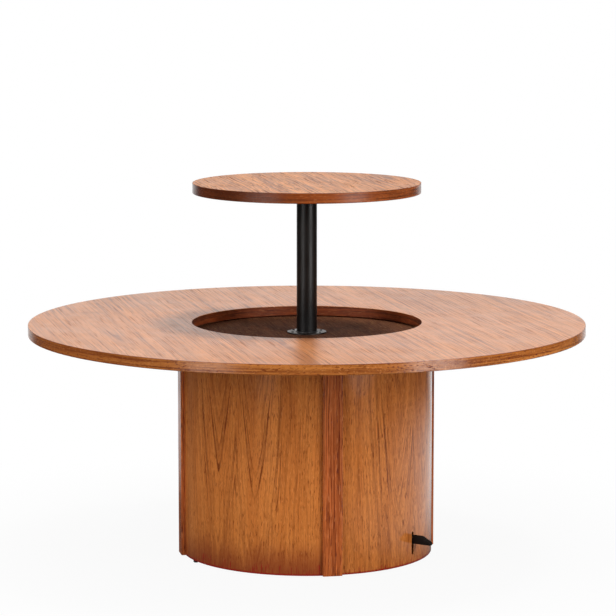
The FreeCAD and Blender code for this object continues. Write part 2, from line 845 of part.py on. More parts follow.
def make_bracket():
    """Hat-section bracket that straddles the lever, and its screws."""
    inside = s.bracket_inside / 2
    outside = inside + s.bracket_wall
    foot = outside + s.bracket_foot
    foot_top = board_top + s.bracket_wall
    half = [
        (foot, board_top),
        (foot, foot_top),
        (outside, foot_top),
        (outside, plate_top),
    ]
    hollow = [(inside, plate_underside), (inside, board_top)]
    corners = half + [(-across, up) for across, up in reversed(half)]
    corners += [(-across, up) for across, up in reversed(hollow)] + hollow
    body = new_body("lift_bracket")
    sketch = new_sketch(body, "YZ_Plane", -s.bracket_back)
    add_outline(sketch, corners)
    padded(body, sketch, s.bracket_back + s.bracket_front)
    upright_holes = new_sketch(body, "XY_Plane")
    add_circle(upright_holes, 0, 0, s.neck_diameter + s.hole_clearance * 2)
    add_bracket_circles(upright_holes, metal_hole)
    pocket_through(body, upright_holes)
    pivot_hole = new_sketch(body, "XZ_Plane")
    add_circle(pivot_hole, s.pivot_reach, s.pivot_height, s.pivot_diameter + s.running_clearance * 2)
    pocket_through(body, pivot_hole)
    screws = new_body("bracket_screws")
    shanks = new_sketch(screws, "XY_Plane", board_top - s.bracket_screw_bite)
    add_bracket_circles(shanks, s.metal_screw_diameter)
    padded(screws, shanks, s.bracket_screw_bite + s.bracket_wall)
    heads = new_sketch(screws, "XY_Plane", foot_top)
    add_bracket_circles(heads, s.metal_screw_head)
    padded(screws, heads, s.metal_screw_head_height)


def make_pedal():
    """Lever, its rubber pad, its pivot pin and the spacers that centre it in the bracket."""
    lever = new_body("pedal_lever")
    profile = new_sketch(lever, "XZ_Plane")
    tongue_tip = lever_root + s.lever_tongue_length
    tongue_top = s.lever_root_middle + s.lever_tongue_height / 2
    tongue_bottom = s.lever_root_middle - s.lever_tongue_height / 2
    corners = [
        (-s.lever_tail, lever_bottom),
        (s.pivot_reach, lever_bottom),
        (lever_root, root_bottom),
        (lever_root, tongue_bottom),
        (tongue_tip, tongue_bottom),
        (tongue_tip, tongue_top),
        (lever_root, tongue_top),
        (lever_root, root_top),
        (s.pivot_reach, lever_top),
        (-s.lever_tail, lever_top),
    ]
    add_outline(profile, corners)
    pivot_bore = s.pivot_diameter + s.running_clearance * 2
    add_circle(profile, s.pivot_reach, s.pivot_height, pivot_bore)
    padded(lever, profile, s.lever_thickness, both_ways=True)
    make_pad(tongue_tip, tongue_bottom, tongue_top)
    bracket_half = s.bracket_inside / 2 + s.bracket_wall
    pin = new_body("pivot_pin")
    shank = new_sketch(pin, "XZ_Plane")
    add_circle(shank, s.pivot_reach, s.pivot_height, s.pivot_diameter)
    padded(pin, shank, bracket_half * 2, both_ways=True)
    for shift in (bracket_half, -bracket_half - s.pivot_head_height):
        head = new_sketch(pin, "XZ_Plane", shift)
        add_circle(head, s.pivot_reach, s.pivot_height, s.pivot_head)
        padded(pin, head, s.pivot_head_height)
    spacers = new_body("pivot_spacers")
    lever_side = s.lever_thickness / 2
    spacer_length = s.bracket_inside / 2 - lever_side - s.rest_clearance
    for shift in (lever_side, -lever_side - spacer_length):
        ring = new_sketch(spacers, "XZ_Plane", shift)
        add_circle(ring, s.pivot_reach, s.pivot_height, s.spacer_diameter)
        add_circle(ring, s.pivot_reach, s.pivot_height, pivot_bore)
        padded(spacers, ring, spacer_length)


def make_pad(tongue_tip, tongue_bottom, tongue_top):
    """Rubber sleeve on the lever's tongue: level below, sloping above to a blunt nose."""
    pad = new_body("pedal_pad")
    sketch = new_sketch(pad, "XZ_Plane")
    heel = lever_root + s.hole_clearance
    nose = lever_root + s.pad_length
    brow = heel + s.pad_brow_length
    corners = [
        (heel, root_bottom),
        (nose, root_bottom),
        (nose, root_bottom + s.pad_nose_height),
        (brow, root_top),
        (heel, root_top),
    ]
    add_outline(sketch, corners)
    padded(pad, sketch, s.pad_thickness, both_ways=True)

    def outside_edge(edge):
        return not near(edge.BoundBox.XMin, value_of(heel)) and edge.BoundBox.XMax > value_of(heel)

    rounded(pad, s.pad_round, outside_edge)
    socket = new_sketch(pad, "XZ_Plane")
    gap = s.hole_clearance
    add_outline(socket, block(heel, tongue_tip + gap, tongue_bottom - gap, tongue_top + gap))

    def make():
        feature = pad.newObject("PartDesign::Pocket", "pedal_pad_socket")
        feature.Profile = socket
        feature.SideType = "Symmetric"
        bind(feature, "Length", s.lever_thickness + gap * 2)

    checked_cut(pad, make)


def make_release():
    """Release pin of the gas spring's valve, standing just above the lever."""
    radius = s.release_pin_diameter / 2
    low = lever_top + s.rest_clearance
    high = cavity_bottom - s.release_pin_setback
    tip = radius / 2
    corners = [(0, low), (tip, low), (radius, low + tip), (radius, high), (0, high)]
    turning("release_pin", corners)


def make_return_spring():
    """Cup on the base board and the coil spring that lifts the lever again."""
    middle = s.spring_reach
    cup = s.spring_cup_diameter / 2
    peg = s.spring_peg_diameter / 2
    cup_top = board_top + s.spring_cup_thickness
    corners = [
        (middle, board_top),
        (middle + cup, board_top),
        (middle + cup, cup_top),
        (middle + peg, cup_top),
        (middle + peg, cup_top + s.spring_peg_height),
        (middle, cup_top + s.spring_peg_height),
    ]
    body = new_body("spring_cup")
    turned(body, "Revolution", lambda sketch: add_outline(sketch, corners), middle)
    slope = (root_bottom - lever_bottom) / (lever_root - s.pivot_reach)
    lever_edge = lever_bottom + slope * (s.spring_reach - s.pivot_reach)
    coil_spring("pedal_spring", cup_top, lever_edge - slope * s.spring_diameter / 2)


def coil_spring(label, low, high):
    """Wire coil between two heights, each quarter turn an arc through three points of the helix."""
    wire = value_of(s.spring_wire) / 2
    radius = value_of(s.spring_diameter) / 2
    bottom = value_of(low) + wire + value_of(s.rest_clearance)
    rise = value_of(high) - wire - value_of(s.rest_clearance) - bottom
    turns = value_of(s.spring_turns)

    def on_helix(turn):
        angle = 2 * math.pi * turn
        x = value_of(s.spring_reach) + radius * math.cos(angle)
        return FreeCAD.Vector(x, radius * math.sin(angle), bottom + rise * turn / turns)

    steps = [step / 4 for step in range(turns * 4)]
    edges = [Part.Arc(on_helix(a), on_helix(a + 1 / 8), on_helix(a + 1 / 4)).toShape() for a in steps]
    path = Part.Wire(edges)
    start = edges[0]
    section = Part.Wire(Part.makeCircle(wire, on_helix(0), start.tangentAt(start.FirstParameter)))
    spring = doc.addObject("Part::Feature", label)
    spring.Label = label
    spring.Shape = path.makePipeShell([section], True, False)
    spring.Placement = FreeCAD.Placement()


def finished_pieces():
    """Every sub-part, after a check that the document and each shape came out right."""
    doc.recompute()
    broken = [thing.Label for thing in doc.Objects if {"Invalid", "Error"} & set(thing.State)]
    if broken:
        raise RuntimeError("these objects failed: " + ", ".join(broken))
    pieces = [
        thing
        for thing in doc.Objects
        if thing.TypeId == "PartDesign::Body" or thing.TypeId == "Part::Feature"
    ]
    for piece in pieces:
        if piece.Shape.isNull() or not piece.Shape.isValid() or not piece.Shape.Solids:
            raise RuntimeError("%s has no valid solid" % piece.Label)
    return pieces


make_top()
make_deck()
make_panels()
make_strips()
make_base()
make_guide()
make_post()
make_susan()
make_gas_spring()
make_bracket()
make_pedal()
make_release()
make_return_spring()

os.makedirs("parts", exist_ok=True)
for piece in finished_pieces():
    piece.Shape.exportStep("parts/%s.step" % piece.Label)
    print("%-20s %2d solids %12.0f mm3" % (piece.Label, len(piece.Shape.Solids), piece.Shape.Volume))
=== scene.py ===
import logging
import math
import random
from dataclasses import dataclass
from enum import Enum
from typing import Sequence

import bmesh
import bpy
from mathutils import Matrix, Vector


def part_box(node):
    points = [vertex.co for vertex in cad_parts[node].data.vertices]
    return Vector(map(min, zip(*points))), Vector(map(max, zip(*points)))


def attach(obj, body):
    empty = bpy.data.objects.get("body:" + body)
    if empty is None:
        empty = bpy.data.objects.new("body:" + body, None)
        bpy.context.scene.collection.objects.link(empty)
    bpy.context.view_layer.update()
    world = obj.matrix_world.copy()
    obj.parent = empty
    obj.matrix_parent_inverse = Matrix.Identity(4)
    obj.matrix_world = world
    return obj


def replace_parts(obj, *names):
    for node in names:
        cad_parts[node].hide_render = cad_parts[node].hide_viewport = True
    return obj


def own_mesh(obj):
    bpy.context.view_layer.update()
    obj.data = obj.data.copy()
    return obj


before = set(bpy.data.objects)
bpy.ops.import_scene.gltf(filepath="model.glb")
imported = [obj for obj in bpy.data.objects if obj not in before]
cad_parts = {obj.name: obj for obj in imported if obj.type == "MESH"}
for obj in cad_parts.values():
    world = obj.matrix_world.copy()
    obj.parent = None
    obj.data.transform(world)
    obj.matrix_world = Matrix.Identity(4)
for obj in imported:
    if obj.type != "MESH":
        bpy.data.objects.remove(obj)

LOG = logging.getLogger("table")
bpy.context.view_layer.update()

Colour = tuple[float, float, float]
Span = tuple[float, float]
Socket = bpy.types.NodeSocket
Signal = float | Sequence[float] | Socket
Form = bmesh.types.BMesh

# Range in which most of a noise's values lie, and how strong the finer octaves of the wood's streaks are.
NOISE_SPAN: Span = (0.3, 0.7)
STREAK_ROUGHNESS = 0.62

# Tolerances of the shapes, in metres, and the edges that stay sharp.
MERGE = 1e-6
TOUCH = 1e-7
SHARP_DEG = 35.0
RING_STEPS = 96


class Grain(Enum):
    """How the grain of a wooden piece lies."""

    FLAT = "straight across a level face"
    UPRIGHT = "upright round the drum"
    RIM = "along a rim"


class Facing(Enum):
    """Which way a screw's head looks."""

    UP = "up"
    DOWN = "down"


class Graph:
    """Node tree of one material or world, with short calls for the nodes that the finishes share."""

    def __init__(self, owner: bpy.types.Material | bpy.types.World) -> None:
        """Start an empty tree.

        Args:
            owner: The material or world that gets the tree.
        """
        self.owner = owner
        self.owner.use_nodes = True
        self.tree = owner.node_tree
        self.tree.nodes.clear()

    @classmethod
    def material(cls, name: str) -> "Graph":
        """Start a new material by its name."""
        return cls(bpy.data.materials.new(name))

    def add(self, kind: str, **settings: object) -> bpy.types.Node:
        """Add a node.

        Args:
            kind: The node's type without the ShaderNode in front.
            settings: Properties to set on it.

        Returns:
            The new node.
        """
        node = self.tree.nodes.new("ShaderNode" + kind)
        for key, value in settings.items():
            setattr(node, key, value)
        return node

    def feed(self, socket: Socket, signal: Signal) -> None:
        """Link a socket to an output, or set its value.

        Args:
            socket: The input to feed.
            signal: An output socket, a number or a tuple.
        """
        if isinstance(signal, Socket):
            self.tree.links.new(signal, socket)
        else:
            socket.default_value = signal

    def maths(self, operation: str, *signals: Signal) -> Socket:
        """Combine numbers.

        Args:
            operation: The Math node's operation.
            signals: Its inputs, in order.

        Returns:
            The result.
        """
        node = self.add("Math", operation=operation)
        for socket, signal in zip(node.inputs, signals):
            self.feed(socket, signal)
        return node.outputs[0]

    def place(self, turn_deg: float = 0.0) -> Socket:
        """Give the point in the piece's own frame.

        Args:
            turn_deg: How far the point is turned about the upright axis.

        Returns:
            The point.
        """
        point = self.add("TexCoord").outputs["Object"]
        if not turn_deg:
            return point
        turn = self.add("Mapping", vector_type="POINT")
        turn.inputs["Rotation"].default_value = (0.0, 0.0, math.radians(turn_deg))
        self.feed(turn.inputs["Vector"], point)
        return turn.outputs[0]

    def split(self, vector: Socket) -> tuple[Socket, ...]:
        """Take a vector apart.

        Args:
            vector: The vector.

        Returns:
            Its three parts.
        """
        node = self.add("SeparateXYZ")
        self.feed(node.inputs[0], vector)
        return tuple(node.outputs)

    def reach(self, x: Signal, y: Signal) -> Socket:
        """Give the distance from the upright axis."""
        return self.maths("SQRT", self.maths("MULTIPLY_ADD", x, x, self.maths("MULTIPLY", y, y)))

    def join(self, across: Signal, along: Signal, deep: Signal = 0.0) -> Socket:
        """Make a vector.

        Args:
            across: Its first part.
            along: Its second part.
            deep: Its third part.

        Returns:
            The vector.
        """
        node = self.add("CombineXYZ")
        for socket, signal in zip(node.inputs, (across, along, deep)):
            self.feed(socket, signal)
        return node.outputs[0]

    def noise(
        self,
        vector: Signal,
        scale: float = 1.0,
        detail: float = 2.0,
        roughness: float = 0.5,
        warp: float = 0.0,
    ) -> Socket:
        """Sample noise.

        Args:
            vector: Where to sample it.
            scale: Its scale.
            detail: Octaves.
            roughness: Strength of the finer octaves.
            warp: Distortion.

        Returns:
            A number that stays near 0.5.
        """
        node = self.add("TexNoise")
        self.feed(node.inputs["Vector"], vector)
        settings = {"Scale": scale, "Detail": detail, "Roughness": roughness, "Distortion": warp}
        for key, value in settings.items():
            node.inputs[key].default_value = value
        return node.outputs[0]

    def chance(self, signal: Signal) -> Socket:
        """Draw an even random number.

        Args:
            signal: Each value of it has its own number.

        Returns:
            The number, from 0 to 1.
        """
        node = self.add("TexWhiteNoise", noise_dimensions="1D")
        self.feed(node.inputs["W"], signal)
        return node.outputs["Value"]

    def spread(
        self, signal: Signal, low: float, high: float, start: float = 0.0, end: float = 1.0
    ) -> Socket:
        """Map a number smoothly from one range to another.

        Args:
            signal: The number.
            low: Where the old range starts.
            high: Where the old range ends.
            start: What low becomes.
            end: What high becomes.

        Returns:
            The mapped number, kept inside the new range.
        """
        node = self.add("MapRange", interpolation_type="SMOOTHSTEP")
        for socket, value in zip(node.inputs, (signal, low, high, start, end)):
            self.feed(socket, value)
        return node.outputs[0]

    def worn(self, noise: Socket, roughness: float, wear: Span) -> Socket:
        """Let a roughness fall and rise a little, as the noise does."""
        return self.spread(noise, *NOISE_SPAN, *(roughness + change for change in wear))

    def blend(self, share: Signal, first: Signal, second: Signal, mode: str = "MIX") -> Socket:
        """Mix two colours.

        Args:
            share: How much of the second colour.
            first: The first colour.
            second: The second colour.
            mode: The Mix node's blend type.

        Returns:
            The mixed colour.
        """
        node = self.add("Mix", data_type="RGBA", blend_type=mode)
        pairs = ((node.inputs[0], share), (node.inputs[6], first), (node.inputs[7], second))
        for socket, signal in pairs:
            if not isinstance(signal, (Socket, float)):
                signal = (*signal, 1.0)
            self.feed(socket, signal)
        return node.outputs[2]

    def surface(
        self, colour: Socket, roughness: Signal, height: Socket, depth: float, **others: Signal
    ) -> bpy.types.Material:
        """Finish the material with one shader.

        Args:
            colour: Base colour.
            roughness: Roughness.
            height: Relief.
            depth: Depth of the relief in metres.
            others: Other inputs of the shader, with underscores for spaces.

        Returns:
            The finished material.
        """
        shader = self.add("BsdfPrincipled")
        self.feed(shader.inputs["Base Color"], colour)
        self.feed(shader.inputs["Roughness"], roughness)
        for key, signal in others.items():
            self.feed(shader.inputs[key.replace("_", " ")], signal)
        bump = self.add("Bump")
        bump.inputs["Distance"].default_value = depth
        self.feed(bump.inputs["Height"], height)
        self.feed(shader.inputs["Normal"], bump.outputs[0])
        output = self.add("OutputMaterial")
        self.feed(output.inputs["Surface"], shader.outputs[0])
        return self.owner


@dataclass(frozen=True)
class Cut:
    """Levels of noise between which one layer of the wood's figure sets in."""

    octaves: float
    low: float
    high: float
    start: float = 0.0
    end: float = 1.0


@dataclass(frozen=True)
class Lay:
    """Where a point lies in its leaf of wood, as the layers of the figure need it, all in metres.

    along is along the grain, length the same from a start that differs from leaf to leaf, bent is across the
    leaf with a little sway, flank the square of the distance from the nearest row of arches, rings is across
    the growth rings, and depth tells one leaf's noise from another's.
    """

    graph: Graph
    along: Socket
    length: Socket
    bent: Socket
    flank: Socket
    rings: Socket
    depth: Socket

    def streaks(self, across: Socket, width: float, reach: float, octaves: float = 2.0) -> Socket:
        """Sample noise that is drawn out along the grain.

        Args:
            across: Metres across the grain or the rings.
            width: Width of one streak in metres.
            reach: Its length in metres.
            octaves: Octaves.

        Returns:
            A number that stays near 0.5.
        """
        across_it = self.graph.maths("DIVIDE", across, width)
        along_it = self.graph.maths("DIVIDE", self.length, reach)
        spot = self.graph.join(across_it, along_it, self.depth)
        return self.graph.noise(spot, detail=octaves, roughness=STREAK_ROUGHNESS)

    def layer(self, cut: Cut, across: Socket, width: float, reach: float) -> Socket:
        """Cut streaks between two levels.

        Args:
            cut: The levels.
            across: Metres across the grain or the rings.
            width: Width of one streak in metres.
            reach: Its length in metres.

        Returns:
            How strong the layer is, from 0 to 1.
        """
        noise = self.streaks(across, width, reach, cut.octaves)
        return self.graph.spread(noise, cut.low, cut.high, cut.start, cut.end)


@dataclass(frozen=True)
class FootStainAndShade:
    """Darker wood at the foot, short red streaks along the lower edge, and painted shade on the cut faces."""

    darker_foot_share: float
    darker_foot: Colour = (0.22, 0.038, 0.012)
    edge: Colour = (0.280, 0.014, 0.009)
    core: Colour = (0.020, 0.008, 0.004)
    darker_foot_span: Span = (-0.06, 0.055)
    darker_foot_sway: float = -0.14
    patches: float = 9.0
    patch_row: float = 5.0
    streaks: float = 260.0
    streak_lean: float = 9.0
    streak_cut: Span = (0.55, 0.62)
    tall_cut: Span = (0.42, 0.58)
    tall_span: Span = (0.004, 0.030)
    edge_span: Span = (0.0095, 0.0165)
    edge_share: float = 0.95
    cut_face_shade_span: Span = (0.004, 0.001)
    cut_face_shade_share: float = 0.85

    def mark(self, graph: Graph, colour: Socket, radius: float) -> Socket:
        """Stain the wood.

        Args:
            graph: The material's nodes.
            colour: The wood's colour so far.
            radius: The drum's outer radius.

        Returns:
            The stained colour.
        """
        x, y, z = graph.split(graph.place())
        bearing = graph.maths("MULTIPLY", graph.maths("ARCTAN2", y, x), radius)
        streak_x = graph.maths("MULTIPLY", bearing, self.streaks)
        streaks = graph.noise(graph.join(streak_x, graph.maths("MULTIPLY", z, self.streak_lean)))
        patches = graph.noise(graph.join(graph.maths("MULTIPLY", bearing, self.patches), self.patch_row))
        # The wood grows darker and redder towards the foot, unevenly round the drum.
        wavy_height = graph.maths("MULTIPLY_ADD", patches, self.darker_foot_sway, z)
        colour = graph.blend(graph.spread(wavy_height, *self.darker_foot_span, self.darker_foot_share, 0.0), colour, self.darker_foot)
        tall = graph.spread(patches, *self.tall_cut, *self.tall_span)
        tip = graph.maths("MULTIPLY", graph.spread(streaks, *self.streak_cut), tall)
        above = graph.maths("SUBTRACT", z, tip)
        colour = graph.blend(graph.spread(above, *self.edge_span, self.edge_share, 0.0), colour, self.edge)
        # Painted shade: the panels' cut faces, in the pedal's slot and along the edges, are darkened nearly
        # to black.
        depths = (radius - depth for depth in self.cut_face_shade_span)
        shaded_cut_faces = graph.spread(graph.reach(x, y), *depths, self.cut_face_shade_share, 0.0)
        return graph.blend(shaded_cut_faces, colour, self.core)


# How teak grows: width and length of its streaks in metres, and how leaf differs from leaf.
PATCH: Span = (0.05, 0.16)
BROAD: Span = (0.045, 0.9)
FIBRE: Span = (0.0006, 0.02)
RING_LENGTH = 0.7
SMOKE_WIDTH, SMOKE_LENGTH = 1.4, 0.2
# Painted glints, paler specks that stand in for highlights, are this many pore lengths long.
PAINTED_GLINT_LENGTH = 0.7
LEAF_JUMP, SEED_JUMP = 7.0, 9.0
SWAY_ACROSS, SWAY_SCALE, SWAY_GAIN = 5.0, 1.6, 4.0

# Where each layer of the figure sets in.
BROAD_CUT = Cut(2.0, 0.32, 0.68)
RING_CUT = Cut(5.0, 0.46, 0.64)
LINE_CUT = Cut(3.0, 0.48, 0.64)
SMOKE_CUT = Cut(4.0, 0.55, 0.70)
PENCIL_CUT = Cut(0.6, 0.56, 0.68)
PORE_CUT = Cut(2.0, 0.56, 0.65)
# The painted glints, paler specks that stand in for highlights, are cut from their own streaks.
PAINTED_GLINT_CUT = Cut(1.0, 0.33, 0.40, 1.0, 0.0)
PORE_PATCH = (0.34, 0.62, 0.45, 1.0)

# Pencil lines: how they start above the foot, and how they fade between patches and far from an arch.
PENCIL_RISE, PENCIL_LEAST, PENCIL_FAR = 0.2, 0.2, 0.15
PENCIL_PATCH = (0.36, 0.58, 0.35, 1.0)

# Seams, the even lines of solid wood: width and length of their drift and of the places where they fade.
SEAM_DRIFT, SEAM_DRIFT_WIDTH, SEAM_DRIFT_LENGTH = 16.0, 3.0, 0.3
SEAM_FADE = Cut(2.0, 0.40, 0.60, 0.25, 0.95)
SEAM_FADE_WIDTH, SEAM_FADE_LENGTH = 2.0, 0.25
SEAM_WAVE: Span = (-0.1, 0.8)

# Lacquer: painted glints in place of highlights, tone of the fibres, wear, and the relief of pores and
# fibres.
PAINTED_GLINT_LIFT: Colour = (0.24, 0.14, 0.06)
FIBRE_TONE: Span = (0.90, 1.10)
WEAR: Span = (-0.03, 0.03)
WEAR_SCALE = 9.0
PORE_ROUGHNESS, PORE_HEIGHT, FIBRE_HEIGHT = 0.10, -0.8, 0.35
WOOD_RELIEF = 0.00004
# Painted shade on one side of a rim: where it starts and where it is full, in shares of the radius.
PAINTED_SHADE_SPAN: Span = (0.2, 0.95)
RIM_LINE = (0.0006, 0.0016, 0.85, 0.0)


@dataclass(frozen=True)
class Teak:
    """Lacquered teak, as veneer leaves or solid.

    The figure is the trunk's growth rings cut by the face: arches in the middle of each leaf and nearly
    straight lines towards its sides. Fine lines, dark pores and smoky streaks lie along the grain. Sizes are
    in metres, and each share says how strongly its layer changes the colour.
    """

    name: str
    grain: Grain
    pale: Colour
    body: Colour
    dark: Colour
    heading_deg: float = 0.0
    radius: float = 0.39
    twin: float = 0.0
    leaf: float = 0.3
    leaf_shift: float = 0.0
    arch: float = 0.3
    arch_depth: float = 0.03
    arch_width: float = 0.05
    skew: float = 0.0
    ring: float = 0.02
    ring_share: float = 0.4
    pencil: float = 0.0045
    pencil_length: float = 0.12
    pencil_share: float = 0.0
    pencil_from: float = -9.0
    pencil_reach: float = 9.0
    line: float = 0.0024
    line_length: float = 0.22
    line_share: float = 0.5
    seam: float = 0.0
    pore_width: float = 0.0022
    pore_length: float = 0.035
    pore_share: float = 0.6
    smoke_share: float = 0.4
    painted_glint_share: float = 0.25
    waviness: float = 0.012
    painted_shade_deg: float = 0.0
    painted_shade_share: float = 0.0
    seed: float = 0.0
    roughness: float = 0.38
    gloss: float = 0.5
    pore_gloss: float = 0.2
    rims: tuple[float, ...] = ()
    foot: FootStainAndShade | None = None

    def across_along(self, graph: Graph) -> tuple[Socket, Socket]:
        """Lay the grain on the piece.

        Args:
            graph: The material's nodes.

        Returns:
            Metres across the grain and along it.
        """
        if self.grain is Grain.FLAT:
            across, along, _ = graph.split(graph.place(90.0 - self.heading_deg))
            return across, along
        x, y, z = graph.split(graph.place(-self.heading_deg))
        round_it = graph.maths("MULTIPLY", graph.maths("ARCTAN2", y, x), self.radius)
        inwards = graph.maths("SUBTRACT", graph.reach(x, y), self.radius)
        if self.grain is Grain.UPRIGHT:
            return graph.maths("ADD", round_it, inwards), z
        return graph.maths("ADD", z, inwards), round_it

    def lay(self, graph: Graph) -> Lay:
        """Find where each point lies in its leaf.

        Args:
            graph: The material's nodes.

        Returns:
            The point's place in the leaf and in the growth rings.
        """
        across, along = self.across_along(graph)
        count = graph.maths("DIVIDE", graph.maths("SUBTRACT", across, self.leaf_shift), self.leaf)
        luck = graph.chance(graph.maths("ADD", graph.maths("FLOOR", count), self.seed))
        side = graph.maths("MULTIPLY", graph.maths("SUBTRACT", graph.maths("FRACT", count), 0.5), self.leaf)
        length = graph.maths("MULTIPLY_ADD", luck, LEAF_JUMP, along)
        sway_at = graph.join(graph.maths("MULTIPLY", across, SWAY_ACROSS), length, luck)
        sway = graph.maths("SUBTRACT", graph.noise(sway_at, SWAY_SCALE), 0.5)
        bent = graph.maths("MULTIPLY_ADD", sway, self.waviness * SWAY_GAIN, side)
        flank = graph.maths("SUBTRACT", graph.maths("ABSOLUTE", bent), self.twin)
        square = graph.maths("MULTIPLY", flank, flank)
        crown = graph.maths("SQRT", graph.maths("ADD", square, self.arch_depth**2))
        crown = graph.maths("MULTIPLY_ADD", square, 1.0 / self.arch_width, crown)
        slant = graph.maths("MULTIPLY_ADD", side, self.skew, length)
        rings = graph.maths("SUBTRACT", crown, graph.maths("MULTIPLY", slant, self.arch))
        depth = graph.maths("MULTIPLY_ADD", luck, SEED_JUMP, self.seed)
        return Lay(graph, along, length, bent, square, rings, depth)

    def lines(self, lay: Lay) -> Socket:
        """Draw the fine lines, and the seams of solid wood where it has them.

        Args:
            lay: The point's place in the wood.

        Returns:
            How dark the lines are, from 0 to 1.
        """
        graph = lay.graph
        fine = lay.layer(LINE_CUT, lay.bent, self.line, self.line_length)
        if not self.seam:
            return fine
        wander = lay.streaks(lay.bent, self.seam * SEAM_DRIFT_WIDTH, SEAM_DRIFT_LENGTH)
        drift = graph.maths("MULTIPLY", wander, SEAM_DRIFT)
        wave = graph.maths("SINE", graph.maths("MULTIPLY_ADD", lay.bent, math.tau / self.seam, drift))
        faint = lay.layer(SEAM_FADE, lay.bent, self.seam * SEAM_FADE_WIDTH, SEAM_FADE_LENGTH)
        seams = graph.maths("MULTIPLY", graph.spread(wave, *SEAM_WAVE), faint)
        return graph.maths("MAXIMUM", fine, seams)

    def pencil_lines(self, lay: Lay, patch: Socket) -> Socket:
        """Draw the thin dark lines along the growth rings.

        Args:
            lay: The point's place in the wood.
            patch: Noise that says where they are strong.

        Returns:
            How dark they are, from 0 to 1.
        """
        graph = lay.graph
        lines = lay.layer(PENCIL_CUT, lay.rings, self.pencil, self.pencil_length)
        risen = graph.spread(lay.along, self.pencil_from, self.pencil_from + PENCIL_RISE, PENCIL_LEAST, 1.0)
        reach = self.pencil_reach**2
        near = graph.spread(lay.flank, reach / 4.0, reach, 1.0, PENCIL_FAR)
        for drawn in (risen, graph.spread(patch, *PENCIL_PATCH), near):
            lines = graph.maths("MULTIPLY", lines, drawn)
        return lines

    def figure(self, lay: Lay) -> dict[str, Socket]:
        """Work out the wood's figure.

        Args:
            lay: The point's place in the wood.

        Returns:
            The layers of the figure, each from 0 to 1.
        """
        graph = lay.graph
        patch = lay.streaks(lay.bent, *PATCH)
        pores = lay.layer(PORE_CUT, lay.bent, self.pore_width, self.pore_length)
        return {
            "broad": lay.layer(BROAD_CUT, lay.bent, *BROAD),
            "rings": lay.layer(RING_CUT, lay.rings, self.ring, RING_LENGTH),
            "lines": self.lines(lay),
            "smoke": lay.layer(SMOKE_CUT, lay.rings, self.ring * SMOKE_WIDTH, SMOKE_LENGTH),
            "pencil": self.pencil_lines(lay, patch),
            "pores": graph.maths("MULTIPLY", pores, graph.spread(patch, *PORE_PATCH)),
            "painted_glints": lay.layer(PAINTED_GLINT_CUT, lay.bent, self.pore_width, self.pore_length * PAINTED_GLINT_LENGTH),
            "fibres": lay.streaks(lay.bent, *FIBRE),
        }

    def build(self) -> bpy.types.Material:
        """Make the material.

        Returns:
            The finished material.
        """
        graph = Graph.material(self.name)
        figure = self.figure(self.lay(graph))
        colour = self.marked(graph, self.tinted(graph, figure))
        rubbed = graph.noise(graph.place(), WEAR_SCALE, detail=4.0, roughness=0.6)
        roughness = graph.worn(rubbed, self.roughness, WEAR)
        roughness = graph.maths("MULTIPLY_ADD", figure["pores"], PORE_ROUGHNESS, roughness)
        fibres = graph.maths("MULTIPLY", figure["fibres"], FIBRE_HEIGHT)
        relief = graph.maths("MULTIPLY_ADD", figure["pores"], PORE_HEIGHT, fibres)
        gloss = self.gloss
        if self.pore_gloss < self.gloss:
            gloss = graph.spread(figure["pores"], 0.0, 1.0, self.gloss, self.pore_gloss)
        return graph.surface(colour, roughness, relief, WOOD_RELIEF, Specular_IOR_Level=gloss)

    def tinted(self, graph: Graph, figure: dict[str, Socket]) -> Socket:
        """Colour the figure.

        Args:
            graph: The material's nodes.
            figure: The layers of the figure.

        Returns:
            The wood's colour.
        """
        colour = graph.blend(figure["broad"], self.body, self.pale)
        layers = {
            "rings": self.ring_share,
            "lines": self.line_share,
            "smoke": self.smoke_share,
            "pencil": self.pencil_share,
            "pores": self.pore_share,
        }
        for layer, share in layers.items():
            colour = graph.blend(graph.maths("MULTIPLY", figure[layer], share), colour, self.dark)
        # Painted glints: paler, greyer specks that stand in for highlights on the lacquer.
        painted_glint_colour = tuple(min(1.0, part + more) for part, more in zip(self.pale, PAINTED_GLINT_LIFT))
        colour = graph.blend(graph.maths("MULTIPLY", figure["painted_glints"], self.painted_glint_share), colour, painted_glint_colour)
        tone = graph.spread(figure["fibres"], *NOISE_SPAN, *FIBRE_TONE)
        return graph.blend(1.0, colour, graph.join(tone, tone, tone), "MULTIPLY")

    def marked(self, graph: Graph, colour: Socket) -> Socket:
        """Add painted shade on one side of a rim, the veneer's cut edge, and the marks of the drum's panels.

        Args:
            graph: The material's nodes.
            colour: The wood's colour so far.

        Returns:
            The marked colour.
        """
        x, y, _ = graph.split(graph.place())
        # Painted shade: one side of the rim is darkened, as if light fell less on it; it turns with the
        # piece.
        if self.painted_shade_share:
            turn = math.radians(self.painted_shade_deg)
            sideways = graph.maths("MULTIPLY", x, math.cos(turn))
            facing = graph.maths("MULTIPLY_ADD", y, math.sin(turn), sideways)
            span = (share * self.radius for share in PAINTED_SHADE_SPAN)
            colour = graph.blend(graph.spread(facing, *span, 0.0, self.painted_shade_share), colour, self.dark)
        for rim in self.rims:
            gap = graph.maths("ABSOLUTE", graph.maths("SUBTRACT", graph.reach(x, y), rim))
            colour = graph.blend(graph.spread(gap, *RIM_LINE), colour, self.dark)
        if self.foot:
            colour = self.foot.mark(graph, colour, self.radius)
        return colour


